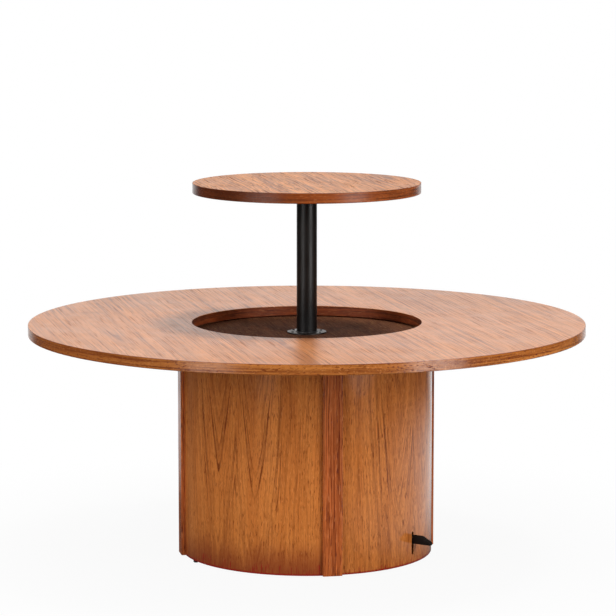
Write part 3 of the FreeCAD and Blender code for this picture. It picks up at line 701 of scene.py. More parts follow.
@dataclass(frozen=True)
class StainedBoard:
    """Dark stained plywood with a thin open grain."""

    name: str
    body: Colour
    dark: Colour
    heading_deg: float
    roughness: float
    wide: float = 60.0
    fine: float = 700.0
    fine_run: float = 25.0
    dust: float = 14.0
    wide_cut: Span = (0.35, 0.68)
    fine_cut: Span = (0.55, 0.75)
    fine_share: float = 0.7
    wear: Span = (-0.08, 0.12)
    relief: float = 0.0003

    def build(self) -> bpy.types.Material:
        """Make the material.

        Returns:
            The finished material.
        """
        graph = Graph.material(self.name)
        across, along, up = graph.split(graph.place(90.0 - self.heading_deg))
        wide_at = graph.join(graph.maths("MULTIPLY", across, self.wide), along, up)
        wide = graph.noise(wide_at, detail=4.0, roughness=0.6, warp=0.4)
        fine_along = graph.maths("MULTIPLY", along, self.fine_run)
        fine_at = graph.join(graph.maths("MULTIPLY", across, self.fine), fine_along, up)
        fine = graph.noise(fine_at, roughness=0.6)
        colour = graph.blend(graph.spread(wide, *self.wide_cut), self.body, self.dark)
        pores = graph.spread(fine, *self.fine_cut, 0.0, self.fine_share)
        colour = graph.blend(pores, colour, self.dark)
        dust = graph.noise(graph.place(), self.dust, detail=4.0, roughness=0.65)
        return graph.surface(colour, graph.worn(dust, self.roughness, self.wear), fine, self.relief)


@dataclass(frozen=True)
class Plywood:
    """Raw plywood: pale face grain, and plies that show at the edges."""

    name: str
    face: Colour
    core: Colour
    ply: float = 0.003
    across: float = 90.0
    along: float = 3.0
    ply_cut: Span = (0.22, 0.28)
    ply_share: float = 0.6
    grain_cut: Span = (0.45, 0.70)
    grain_share: float = 0.5
    roughness: Span = (0.60, 0.75)
    relief: float = 0.0004

    def build(self) -> bpy.types.Material:
        """Make the material.

        Returns:
            The finished material.
        """
        graph = Graph.material(self.name)
        x, y, z = graph.split(graph.place())
        layer = graph.maths("FRACT", graph.maths("DIVIDE", z, self.ply * 2.0))
        middle = graph.maths("ABSOLUTE", graph.maths("SUBTRACT", layer, 0.5))
        plies = graph.maths("MULTIPLY", graph.spread(middle, *self.ply_cut), self.ply_share)
        grain_x = graph.maths("MULTIPLY", x, self.across)
        grain_at = graph.join(grain_x, graph.maths("MULTIPLY", y, self.along), z)
        grain = graph.noise(grain_at, detail=4.0, roughness=0.6, warp=0.5)
        colour = graph.blend(plies, self.face, self.core)
        dark = graph.spread(grain, *self.grain_cut, 0.0, self.grain_share)
        colour = graph.blend(dark, colour, self.core)
        roughness = graph.spread(grain, *NOISE_SPAN, *self.roughness)
        return graph.surface(colour, roughness, grain, self.relief)


@dataclass(frozen=True)
class Metal:
    """Bare or plated metal with fine lines round its axis and a little tarnish."""

    name: str
    colour: Colour
    dull: Colour
    roughness: float
    lines: float = 900.0
    stain: float = 55.0
    stain_cut: Span = (0.42, 0.68)
    wear: Span = (-0.06, 0.14)
    relief: float = 0.00008

    def build(self) -> bpy.types.Material:
        """Make the material.

        Returns:
            The finished material.
        """
        graph = Graph.material(self.name)
        x, y, z = graph.split(graph.place())
        turned_at = graph.join(graph.maths("MULTIPLY", graph.reach(x, y), self.lines), z)
        turned = graph.noise(turned_at, detail=3.0, roughness=0.6)
        stain = graph.noise(graph.place(), self.stain, detail=5.0, roughness=0.62)
        colour = graph.blend(graph.spread(stain, *self.stain_cut), self.colour, self.dull)
        roughness = graph.worn(stain, self.roughness, self.wear)
        return graph.surface(colour, roughness, turned, self.relief, Metallic=1.0)


@dataclass(frozen=True)
class Enamel:
    """Satin enamel on steel, with the fine grain of sprayed paint and a few rubbed specks."""

    name: str
    colour: Colour
    speck: Colour
    roughness: float
    grit: float = 900.0
    specks: float = 420.0
    speck_cut: Span = (0.62, 0.72)
    speck_share: float = 0.5
    cloud: float = 12.0
    wear: Span = (-0.06, 0.08)
    relief: float = 0.0002
    ior: float = 1.42

    def build(self) -> bpy.types.Material:
        """Make the material.

        Returns:
            The finished material.
        """
        graph = Graph.material(self.name)
        grit = graph.noise(graph.place(), self.grit, roughness=0.6)
        dots = graph.noise(graph.place(), self.specks, roughness=0.7)
        rubbed = graph.spread(dots, *self.speck_cut, 0.0, self.speck_share)
        colour = graph.blend(rubbed, self.colour, self.speck)
        cloud = graph.noise(graph.place(), self.cloud, detail=4.0, roughness=0.6)
        roughness = graph.worn(cloud, self.roughness, self.wear)
        return graph.surface(colour, roughness, grit, self.relief, IOR=self.ior)


@dataclass(frozen=True)
class Moulded:
    """Moulded plastic or rubber with a fine grained skin and pale scuffs."""

    name: str
    colour: Colour
    scuff: Colour
    roughness: float
    grit: float = 700.0
    ior: float = 1.5
    scuffs: float = 60.0
    scuff_cut: Span = (0.58, 0.80)
    scuff_share: float = 0.6
    wear: Span = (-0.05, 0.10)
    relief: float = 0.0002

    def build(self) -> bpy.types.Material:
        """Make the material.

        Returns:
            The finished material.
        """
        graph = Graph.material(self.name)
        skin = graph.noise(graph.place(), self.grit, detail=3.0, roughness=0.6)
        rubbed = graph.noise(graph.place(), self.scuffs, detail=5.0, roughness=0.7)
        scuffed = graph.spread(rubbed, *self.scuff_cut, 0.0, self.scuff_share)
        colour = graph.blend(scuffed, self.colour, self.scuff)
        roughness = graph.worn(rubbed, self.roughness, self.wear)
        return graph.surface(colour, roughness, skin, self.relief, IOR=self.ior)


@dataclass(frozen=True)
class Felt:
    """Pressed felt with tangled fibres."""

    name: str
    colour: Colour
    fibre: Colour
    tangle: float = 1400.0
    tangle_cut: Span = (0.4, 0.7)
    roughness: float = 0.95
    fuzz: float = 0.4
    relief: float = 0.0006

    def build(self) -> bpy.types.Material:
        """Make the material.

        Returns:
            The finished material.
        """
        graph = Graph.material(self.name)
        tangle = graph.noise(graph.place(), self.tangle, detail=5.0, roughness=0.7, warp=1.2)
        colour = graph.blend(graph.spread(tangle, *self.tangle_cut), self.colour, self.fibre)
        return graph.surface(colour, self.roughness, tangle, self.relief, Sheen_Weight=self.fuzz)


Finish = Teak | StainedBoard | Plywood | Metal | Enamel | Moulded | Felt


def dress(nodes: Sequence[str], finish: Finish) -> None:
    """Give CAD nodes a finish.

    Args:
        nodes: Names of the nodes.
        finish: What they get.
    """
    material = finish.build()
    for node in nodes:
        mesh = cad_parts[node].data
        mesh.materials.clear()
        mesh.materials.append(material)
    LOG.info("%s dressed in %s", ", ".join(nodes), finish.name)


def add_piece(form: Form, name: str, body: str, finish: Finish) -> bpy.types.Object:
    """Turn a bmesh into a piece of the object.

    Args:
        form: The shape, in the row frame; it is freed.
        name: The piece's name.
        body: The CAD body that it rides on.
        finish: Its material.

    Returns:
        The piece.
    """
    bmesh.ops.remove_doubles(form, verts=form.verts, dist=MERGE)
    bmesh.ops.recalc_face_normals(form, faces=form.faces)
    for face in form.faces:
        face.smooth = True
    for edge in form.edges:
        if len(edge.link_faces) == 2:
            edge.smooth = edge.calc_face_angle() < math.radians(SHARP_DEG)
    mesh = bpy.data.meshes.new(name)
    form.to_mesh(mesh)
    form.free()
    mesh.materials.append(finish.build())
    piece = bpy.data.objects.new(name, mesh)
    bpy.context.scene.collection.objects.link(piece)
    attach(piece, body)
    LOG.info("%s built, rides on %s", name, body)
    return piece


def ring_form(start: Span, section: Sequence[Span]) -> Form:
    """Turn a closed section about the post's axis.

    Args:
        start: Radius and height that the section is measured from.
        section: Its corners, outwards and up from there.

    Returns:
        The ring's shape.
    """
    radius, height = start
    form = bmesh.new()
    corners = [form.verts.new((radius + out, 0.0, height + up)) for out, up in section]
    outline = [form.edges.new(ends) for ends in zip(corners, corners[1:] + corners[:1])]
    bmesh.ops.spin(
        form,
        geom=corners + outline,
        cent=(0.0, 0.0, 0.0),
        axis=(0.0, 0.0, 1.0),
        angle=math.tau,
        steps=RING_STEPS,
        use_merge=True,
        use_duplicate=False,
    )
    return form


def slice_across(form: Form, spot: Sequence[float], normal: Sequence[float]) -> None:
    """Add a loop of edges where a plane meets the shape.

    Args:
        form: The shape.
        spot: A point of the plane.
        normal: The way that the plane faces.
    """
    geometry = form.verts[:] + form.edges[:] + form.faces[:]
    bmesh.ops.bisect_plane(form, geom=geometry, plane_co=spot, plane_no=normal)


def push_faces(form: Form, faces: Sequence[bmesh.types.BMFace], height: float, keep: bool = False) -> None:
    """Extrude faces upwards, or downwards.

    Args:
        form: The shape.
        faces: Which faces.
        height: How far up.
        keep: Whether they also stay where they were, to close a flat shape from below.
    """
    made = bmesh.ops.extrude_face_region(form, geom=list(faces))
    verts = [part for part in made["geom"] if isinstance(part, bmesh.types.BMVert)]
    bmesh.ops.translate(form, verts=verts, vec=(0.0, 0.0, height))
    if not keep:
        bmesh.ops.delete(form, geom=list(faces), context="FACES")


def round_edges(form: Form, edges: Sequence[bmesh.types.BMEdge], radius: float, segments: int) -> None:
    """Round edges off.

    Args:
        form: The shape.
        edges: Which edges.
        radius: Width of the rounding.
        segments: Its steps.
    """
    bmesh.ops.bevel(
        form,
        geom=list(edges),
        offset=radius,
        offset_type="OFFSET",
        affect="EDGES",
        segments=segments,
        profile=0.5,
        material=-1,
    )


@dataclass
class ScrewRing:
    """Slotted cheese-head screws, evenly spaced on a circle about the post's axis."""

    name: str
    node: str
    body: str
    circle: float
    count: int
    seat: float
    facing: Facing
    head: float
    head_height: float
    shank: float
    grip: float
    slot_width: float = 0.0012
    slot_depth: float = 0.0011
    crown: float = 0.0006
    crown_steps: int = 3
    head_sides: int = 28
    shank_sides: int = 16
    rim_share: float = 0.49

    def one(self) -> Form:
        """Make one screw at the origin, its head up and its seat level.

        Returns:
            The screw's shape.
        """
        form = bmesh.new()
        bmesh.ops.create_circle(form, cap_ends=True, radius=self.head / 2.0, segments=self.head_sides)
        for side in (-1.0, 1.0):
            slice_across(form, (0.0, side * self.slot_width / 2.0, 0.0), (0.0, 1.0, 0.0))
        floor = self.head_height - self.slot_depth
        push_faces(form, form.faces[:], floor, keep=True)
        lands = [
            face
            for face in form.faces
            if abs(face.calc_center_median().z - floor) < TOUCH
            and abs(face.calc_center_median().y) > self.slot_width / 2.0
        ]
        push_faces(form, lands, self.slot_depth)
        rim = [
            edge
            for edge in form.edges
            if all(abs(vert.co.z - self.head_height) < TOUCH for vert in edge.verts)
            and all(vert.co.xy.length > self.head * self.rim_share for vert in edge.verts)
        ]
        round_edges(form, rim, self.crown, self.crown_steps)
        tip = self.shank / 6.0
        bmesh.ops.create_cone(
            form,
            cap_ends=True,
            segments=self.shank_sides,
            radius1=tip,
            radius2=self.shank / 2.0,
            depth=self.grip,
            matrix=Matrix.Translation((0.0, 0.0, -self.grip / 2.0)),
        )
        return form

    def build(self, finish: Finish) -> None:
        """Make the ring in place of its CAD node.

        Args:
            finish: The screws' metal.
        """
        luck = random.Random(self.name)
        form = bmesh.new()
        for number in range(self.count):
            screw = self.one()
            turn = Matrix.Rotation(luck.uniform(0.0, math.pi), 4, "Z")
            if self.facing is Facing.DOWN:
                turn = Matrix.Rotation(math.pi, 4, "X") @ turn
            bearing = math.tau * number / self.count
            spot = Vector((self.circle * math.cos(bearing), self.circle * math.sin(bearing), self.seat))
            bmesh.ops.transform(screw, matrix=Matrix.Translation(spot) @ turn, verts=screw.verts)
            loose = bpy.data.meshes.new("screw")
            screw.to_mesh(loose)
            screw.free()
            form.from_mesh(loose)
            bpy.data.meshes.remove(loose)
        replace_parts(add_piece(form, self.name, self.body, finish), self.node)


ZINC = Metal("zinc_plate", (0.40, 0.385, 0.37), (0.22, 0.20, 0.185), 0.42)
BRIGHT = Metal("bright_steel", (0.085, 0.074, 0.069), (0.040, 0.033, 0.030), 0.32)
BLACKED = Metal("blacked_steel", (0.050, 0.047, 0.046), (0.022, 0.020, 0.020), 0.38)
CHROME = Metal("hard_chrome_plate", (0.72, 0.72, 0.73), (0.55, 0.55, 0.56), 0.16, lines=300.0)
NYLON = Moulded("black_nylon", (0.016, 0.016, 0.017), (0.05, 0.05, 0.05), 0.5)
RUBBER = Moulded("pedal_rubber", (0.008, 0.005, 0.004), (0.022, 0.016, 0.013), 0.60, grit=500.0, ior=1.25)
POST_ENAMEL = Enamel("satin_black_enamel", (0.004, 0.0036, 0.0036), (0.05, 0.046, 0.042), 0.34)
LEVER_ENAMEL = Enamel("lever_enamel", (0.013, 0.012, 0.012), (0.06, 0.05, 0.045), 0.42)
FELT = Felt("pressed_felt", (0.030, 0.022, 0.017), (0.085, 0.066, 0.052))
RAW_PLY = Plywood("raw_ply", (0.46, 0.29, 0.15), (0.28, 0.15, 0.07))

# Headings in degrees: the top's grain, the lippings' joints, the side with painted shade, and a drum panel.
TOP_HEADING = 136.7
RIM_HEADING = -56.3
PAINTED_SHADE_DEG = -125.0
QUARTER_DEG = 90.0

# The dark figure that the top's lipping and the drum's panels share.
DARK: Colour = (0.125, 0.018, 0.003)


@dataclass
class TableTop:
    """The ring-shaped top, its lippings, and the deck that floors the well."""

    outer: float = 0.8675
    hole: float = 0.359
    screw_circle: float = 0.422
    screw_seat: float = 0.673

    def build(self) -> None:
        """Make the screws below the deck."""
        ScrewRing(
            "top_screw_heads", "top_screws", "base", circle=self.screw_circle, count=8, seat=self.screw_seat,
            facing=Facing.DOWN, head=0.010, head_height=0.003, shank=0.005, grip=0.043,
        ).build(ZINC)

    def dress(self) -> None:
        """Give the top's nodes their finishes."""
        veneer = Teak(
            "top_veneer", Grain.FLAT,
            pale=(0.69, 0.256, 0.069), body=(0.58, 0.204, 0.050), dark=(0.20, 0.046, 0.011),
            heading_deg=TOP_HEADING, leaf=0.46, leaf_shift=0.06, arch=0.03, arch_depth=0.02, arch_width=0.12,
            ring=0.030, ring_share=0.30, pencil=0.012, pencil_length=0.80, pencil_share=0.80, line=0.0046,
            line_length=1.20, line_share=0.50, pore_width=0.0040, pore_length=0.24, pore_share=0.55,
            smoke_share=0.42, painted_glint_share=0.22, waviness=0.003, seed=4.0, roughness=0.335, gloss=0.78,
            pore_gloss=0.40, rims=(self.outer,),
        )
        dress(["table_top"], veneer)
        # The lipping carries a light painted shade on one side.
        lipping = Teak(
            "top_lipping", Grain.RIM, pale=(0.54, 0.188, 0.038), body=(0.43, 0.132, 0.024), dark=DARK,
            heading_deg=RIM_HEADING, radius=self.outer, leaf=0.2, leaf_shift=0.63, arch=0.01, ring=0.012,
            ring_share=0.55, line=0.0040, line_share=0.60, pore_width=0.0042, pore_length=0.012,
            pore_share=0.95, waviness=0.004, painted_shade_deg=PAINTED_SHADE_DEG, painted_shade_share=0.30, seed=29.0, roughness=0.20,
        )
        dress(["top_edge_lipping"], lipping)
        # Darker wood than the other lippings, darkened as painted shade for the shade in the well.
        well = Teak(
            "well_lipping_painted_shade", Grain.RIM,
            pale=(0.25, 0.052, 0.012), body=(0.15, 0.028, 0.006), dark=(0.030, 0.006, 0.003),
            heading_deg=RIM_HEADING, radius=self.hole, leaf=0.2, leaf_shift=0.63, arch=0.01, ring=0.012,
            ring_share=0.6, line=0.0050, line_share=0.6, waviness=0.004, seed=23.0, roughness=0.5, gloss=0.2,
        )
        dress(["top_hole_lipping"], well)
        # Dark wood, darkened further as painted shade for the shade under the disc in the well.
        deck = Teak(
            "deck_veneer_painted_shade", Grain.FLAT,
            pale=(0.16, 0.064, 0.030), body=(0.12, 0.045, 0.020), dark=(0.05, 0.015, 0.006),
            heading_deg=TOP_HEADING, leaf=0.40, leaf_shift=0.02, arch=0.25, arch_depth=0.02, arch_width=0.12,
            ring=0.030, line=0.0050, pore_width=0.0040, pore_length=0.060, seed=83.0, roughness=0.8,
            gloss=0.08,
        )
        dress(["deck_board"], deck)
        packing = StainedBoard(
            "packing_stain", body=(0.090, 0.040, 0.024), dark=(0.035, 0.016, 0.010), heading_deg=TOP_HEADING,
            roughness=0.62,
        )
        dress(["packing_ring"], packing)


@dataclass
class Drum:
    """The bent panels, the strips over their joints, and the base."""

    radius: float = 0.392
    screw_circle: float = 0.3648
    screw_seat: float = 0.008
    pedal_darker_foot: float = 0.12
    darker_foot: float = 0.78
    strip_seed: float = 71.0
    seed_step: float = 5.0

    def build(self) -> None:
        """Make the screws below the base board."""
        ScrewRing(
            "base_screw_heads", "base_screws", "base", circle=self.screw_circle, count=8,
            seat=self.screw_seat, facing=Facing.DOWN, head=0.010, head_height=0.003, shank=0.005, grip=0.024,
        ).build(ZINC)

    def dress(self) -> None:
        """Give each panel and strip its own cut of wood, and the base its finishes."""
        seeds = {"panel_right": 31.0, "panel_back": 47.0, "panel_left": 58.0, "panel_front": 12.0}
        for number, (panel, seed) in enumerate(seeds.items()):
            darker_foot = self.pedal_darker_foot if panel == "panel_right" else self.darker_foot
            veneer = Teak(
                panel + "_veneer", Grain.UPRIGHT,
                pale=(0.67, 0.224, 0.048), body=(0.56, 0.170, 0.033), dark=DARK,
                heading_deg=QUARTER_DEG * number, radius=self.radius, twin=0.068, leaf=0.80, leaf_shift=-0.40,
                arch=0.24, arch_depth=0.005, arch_width=0.08, skew=0.6, ring=0.022, ring_share=0.30,
                pencil=0.0105, pencil_length=0.50, pencil_share=0.85, pencil_from=0.12, pencil_reach=0.13,
                line=0.0048, line_share=0.25, pore_width=0.0028, pore_length=0.028, pore_share=0.80,
                smoke_share=0.45, waviness=0.010, seed=seed, roughness=0.11, foot=FootStainAndShade(darker_foot),
            )
            dress([panel], veneer)
        strips = ("strip_back_right", "strip_back_left", "strip_front_left", "strip_front_right")
        for number, strip in enumerate(strips):
            solid = Teak(
                strip + "_teak", Grain.UPRIGHT,
                pale=(0.62, 0.165, 0.038), body=(0.52, 0.120, 0.026), dark=(0.085, 0.008, 0.002),
                heading_deg=QUARTER_DEG * (number + 0.5), radius=self.radius, leaf=0.5, leaf_shift=0.2,
                arch=0.004, ring=0.014, ring_share=0.35, line=0.0034, line_length=0.5, line_share=0.64,
                seam=0.0064, pore_width=0.0028, pore_length=0.05, pore_share=0.85, waviness=0.002,
                seed=self.strip_seed + self.seed_step * number, roughness=0.20,
            )
            dress([strip], solid)
        dress(["deck_hoop", "base_hoop", "base_board"], RAW_PLY)
        dress(["far_glides", "near_glides"], NYLON)


@dataclass
class Lift:
    """The post, its guide, the gas spring and its bracket.

    The sections of the wiper and the weld bead are metres outwards and up from the post's face.
    """

    post: float = 0.03175
    post_top: float = 1.139
    flange_top: float = 0.699
    flange_circle: float = 0.04953
    wiper_gap: float = 0.0004
    wiper: tuple[Span, ...] = (
        (0.0, 0.0), (0.0030, 0.0), (0.0028, 0.0008), (0.0006, 0.0019), (0.0, 0.0019),
    )
    bead: tuple[Span, ...] = (
        (0.0, 0.0), (0.0032, 0.0), (0.0026, -0.0008), (0.0012, -0.0014), (0.0, -0.0017),
    )

    def build(self) -> None:
        """Make the flange's screws, the wiper round the post and the weld at the post's upper end."""
        ScrewRing(
            "flange_screw_heads", "flange_screws", "base", circle=self.flange_circle, count=6,
            seat=self.flange_top, facing=Facing.UP, head=0.008, head_height=0.002, shank=0.004, grip=0.016,
        ).build(BLACKED)
        wiper = ring_form((self.post + self.wiper_gap, self.flange_top), self.wiper)
        add_piece(wiper, "post_wiper", "base", NYLON)
        bead = ring_form((self.post, self.post_top), self.bead)
        add_piece(bead, "post_weld", "lift", POST_ENAMEL)

    @staticmethod
    def dress() -> None:
        """Give the lift's nodes their finishes."""
        dress(["lift_post", "gas_cylinder"], POST_ENAMEL)
        steel = [
            "lift_bracket", "cylinder_nut", "post_plug", "swivel_inner_plate",
            "deck_hoop_screws", "bracket_screws",
        ]
        dress(steel, ZINC)
        dress(["guide_sleeve"], BRIGHT)
        dress(["gas_rod", "swivel_balls", "release_pin"], CHROME)
        dress(["upper_bush", "lower_bush", "rod_guide", "gas_piston"], NYLON)


@dataclass
class Susan:
    """The disc that rises and turns, with its swivel ring and felts."""

    radius: float = 0.355
    screw_circle: float = 0.0595
    screw_seat: float = 1.140
    grain_turn_deg: float = -1.5

    def build(self) -> None:
        """Make the swivel's screws."""
        ScrewRing(
            "swivel_screw_heads", "swivel_screws", "susan", circle=self.screw_circle, count=6,
            seat=self.screw_seat, facing=Facing.DOWN, head=0.008, head_height=0.002, shank=0.004, grip=0.022,
        ).build(ZINC)

    def dress(self) -> None:
        """Give the disc's nodes their finishes."""
        veneer = Teak(
            "disc_veneer", Grain.FLAT,
            pale=(0.76, 0.282, 0.066), body=(0.65, 0.226, 0.048), dark=(0.14, 0.028, 0.007),
            heading_deg=TOP_HEADING + self.grain_turn_deg, leaf=0.36, leaf_shift=0.10, arch=0.05,
            arch_depth=0.02, arch_width=0.10, ring=0.030, ring_share=0.45, pencil=0.012, pencil_length=0.60,
            pencil_share=0.8, line=0.0052, line_length=0.60, line_share=0.50, pore_width=0.0048,
            pore_length=0.13, pore_share=0.80, smoke_share=0.36, painted_glint_share=0.5, waviness=0.004, seed=15.0,
            roughness=0.42, pore_gloss=0.05, rims=(self.radius,),
        )
        dress(["susan_board"], veneer)
        # The lipping carries a strong painted shade on one side.
        lipping = Teak(
            "disc_lipping", Grain.RIM,
            pale=(0.35, 0.088, 0.019), body=(0.25, 0.054, 0.011), dark=(0.04, 0.008, 0.003),
            heading_deg=RIM_HEADING, radius=self.radius, leaf=0.2, leaf_shift=1.05, arch=0.01, ring=0.012,
            ring_share=0.55, line=0.0045, pore_length=0.02, waviness=0.004, painted_shade_deg=PAINTED_SHADE_DEG,
            painted_shade_share=0.72, seed=37.0, roughness=0.24, gloss=0.34,
        )
        dress(["susan_lipping"], lipping)
        dress(["swivel_outer_ring"], ZINC)
        dress(["susan_felts"], FELT)


@dataclass
class Pedal:
    """The foot lever with its ribbed rubber, its pivot and its return spring."""

    heel: float = 0.3962
    brow: float = 0.4282
    nose: float = 0.459
    low: float = 0.071
    high: float = 0.097
    nose_top: float = 0.081
    half_width: float = 0.007
    edge_round: float = 0.0024
    edge_steps: int = 4
    edge_deg: float = 20.0
    groove: float = 0.0018
    groove_pitch: float = 0.0052
    groove_depth: float = 0.0011
    groove_share: float = 0.55
    groove_upright: float = 0.6
    slack: float = 1e-5
    coil_reach: float = 0.160
    coil_radius: float = 0.007
    coil_wire: float = 0.0016
    coil_turns: int = 4
    coil_steps: int = 24
    wire_sides: int = 14
    coil_drop: float = 0.0122

    def build(self) -> None:
        """Make the tread and the return spring."""
        self.build_tread()
        self.build_coil()

    def build_tread(self) -> None:
        """Make the ribbed pad in place of its CAD node."""
        form = bmesh.new()
        bmesh.ops.create_cube(form, size=1.0)
        size = (self.nose - self.heel, self.half_width * 2.0, self.high - self.low)
        bmesh.ops.scale(form, vec=size, verts=form.verts)
        middle = ((self.nose + self.heel) / 2.0, 0.0, (self.high + self.low) / 2.0)
        bmesh.ops.translate(form, vec=middle, verts=form.verts)
        self.slice_at(form, self.brow)
        nose = [
            vert
            for vert in form.verts
            if vert.co.x > self.brow + self.slack and vert.co.z > self.high - self.slack
        ]
        bmesh.ops.translate(form, vec=(0.0, 0.0, self.nose_top - self.high), verts=nose)
        outside = [
            edge
            for edge in form.edges
            if edge.calc_face_angle(0.0) > math.radians(self.edge_deg)
            and any(vert.co.x >= self.heel + self.slack for vert in edge.verts)
        ]
        round_edges(form, outside, self.edge_round, self.edge_steps)
        self.add_ribs(form)
        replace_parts(add_piece(form, "pedal_tread", "pedal", RUBBER), "pedal_pad")

    @staticmethod
    def slice_at(form: Form, where: float) -> None:
        """Add a loop of edges across the pad, at a distance along +X."""
        slice_across(form, (where, 0.0, 0.0), (1.0, 0.0, 0.0))

    def add_ribs(self, form: Form) -> None:
        """Press grooves across the tread.

        Args:
            form: The pad.
        """
        starts = []
        place = self.heel + self.groove_pitch
        while place < self.nose - self.groove_pitch:
            starts.append(place)
            self.slice_at(form, place)
            self.slice_at(form, place + self.groove)
            place += self.groove_pitch
        for start in starts:
            tread = [
                face
                for face in form.faces
                if face.normal.z > self.groove_upright
                and start < face.calc_center_median().x < start + self.groove
                and abs(face.calc_center_median().y) < self.half_width * self.groove_share
            ]
            push_faces(form, tread, -self.groove_depth)

    def build_coil(self) -> None:
        """Make the coil spring in place of its CAD node."""
        low, high = (corner[2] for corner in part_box("pedal_spring"))
        start = Matrix.Translation((self.coil_reach + self.coil_radius, 0.0, low + self.coil_wire / 2.0))
        steps = self.coil_turns * self.coil_steps
        form = bmesh.new()
        bmesh.ops.create_circle(
            form,
            radius=self.coil_wire / 2.0,
            segments=self.wire_sides,
            matrix=start @ Matrix.Rotation(math.pi / 2.0, 4, "X"),
        )
        bmesh.ops.spin(
            form,
            geom=form.verts[:] + form.edges[:],
            cent=(self.coil_reach, 0.0, 0.0),
            axis=(0.0, 0.0, 1.0),
            dvec=(0.0, 0.0, (high - low - self.coil_wire) / steps),
            angle=math.tau * self.coil_turns,
            steps=steps,
            use_merge=False,
            use_duplicate=False,
        )
        bmesh.ops.holes_fill(form, edges=[edge for edge in form.edges if edge.is_boundary])
        coil = add_piece(form, "pedal_coil", "base", CHROME)
        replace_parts(coil, "pedal_spring")
        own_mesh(coil)

    @staticmethod
    def dress() -> None:
        """Give the pedal's nodes their finishes."""
        dress(["pedal_lever"], LEVER_ENAMEL)
        dress(["pivot_pin", "pivot_spacers", "spring_cup"], ZINC)


@dataclass(frozen=True)
class SoftBox:
    """A soft lamp, its place in metres to the picture's right, towards the camera and up."""

    name: str
    right: float
    near: float
    up: float
    width: float
    height: float
    power: float
    mirrored: bool = True


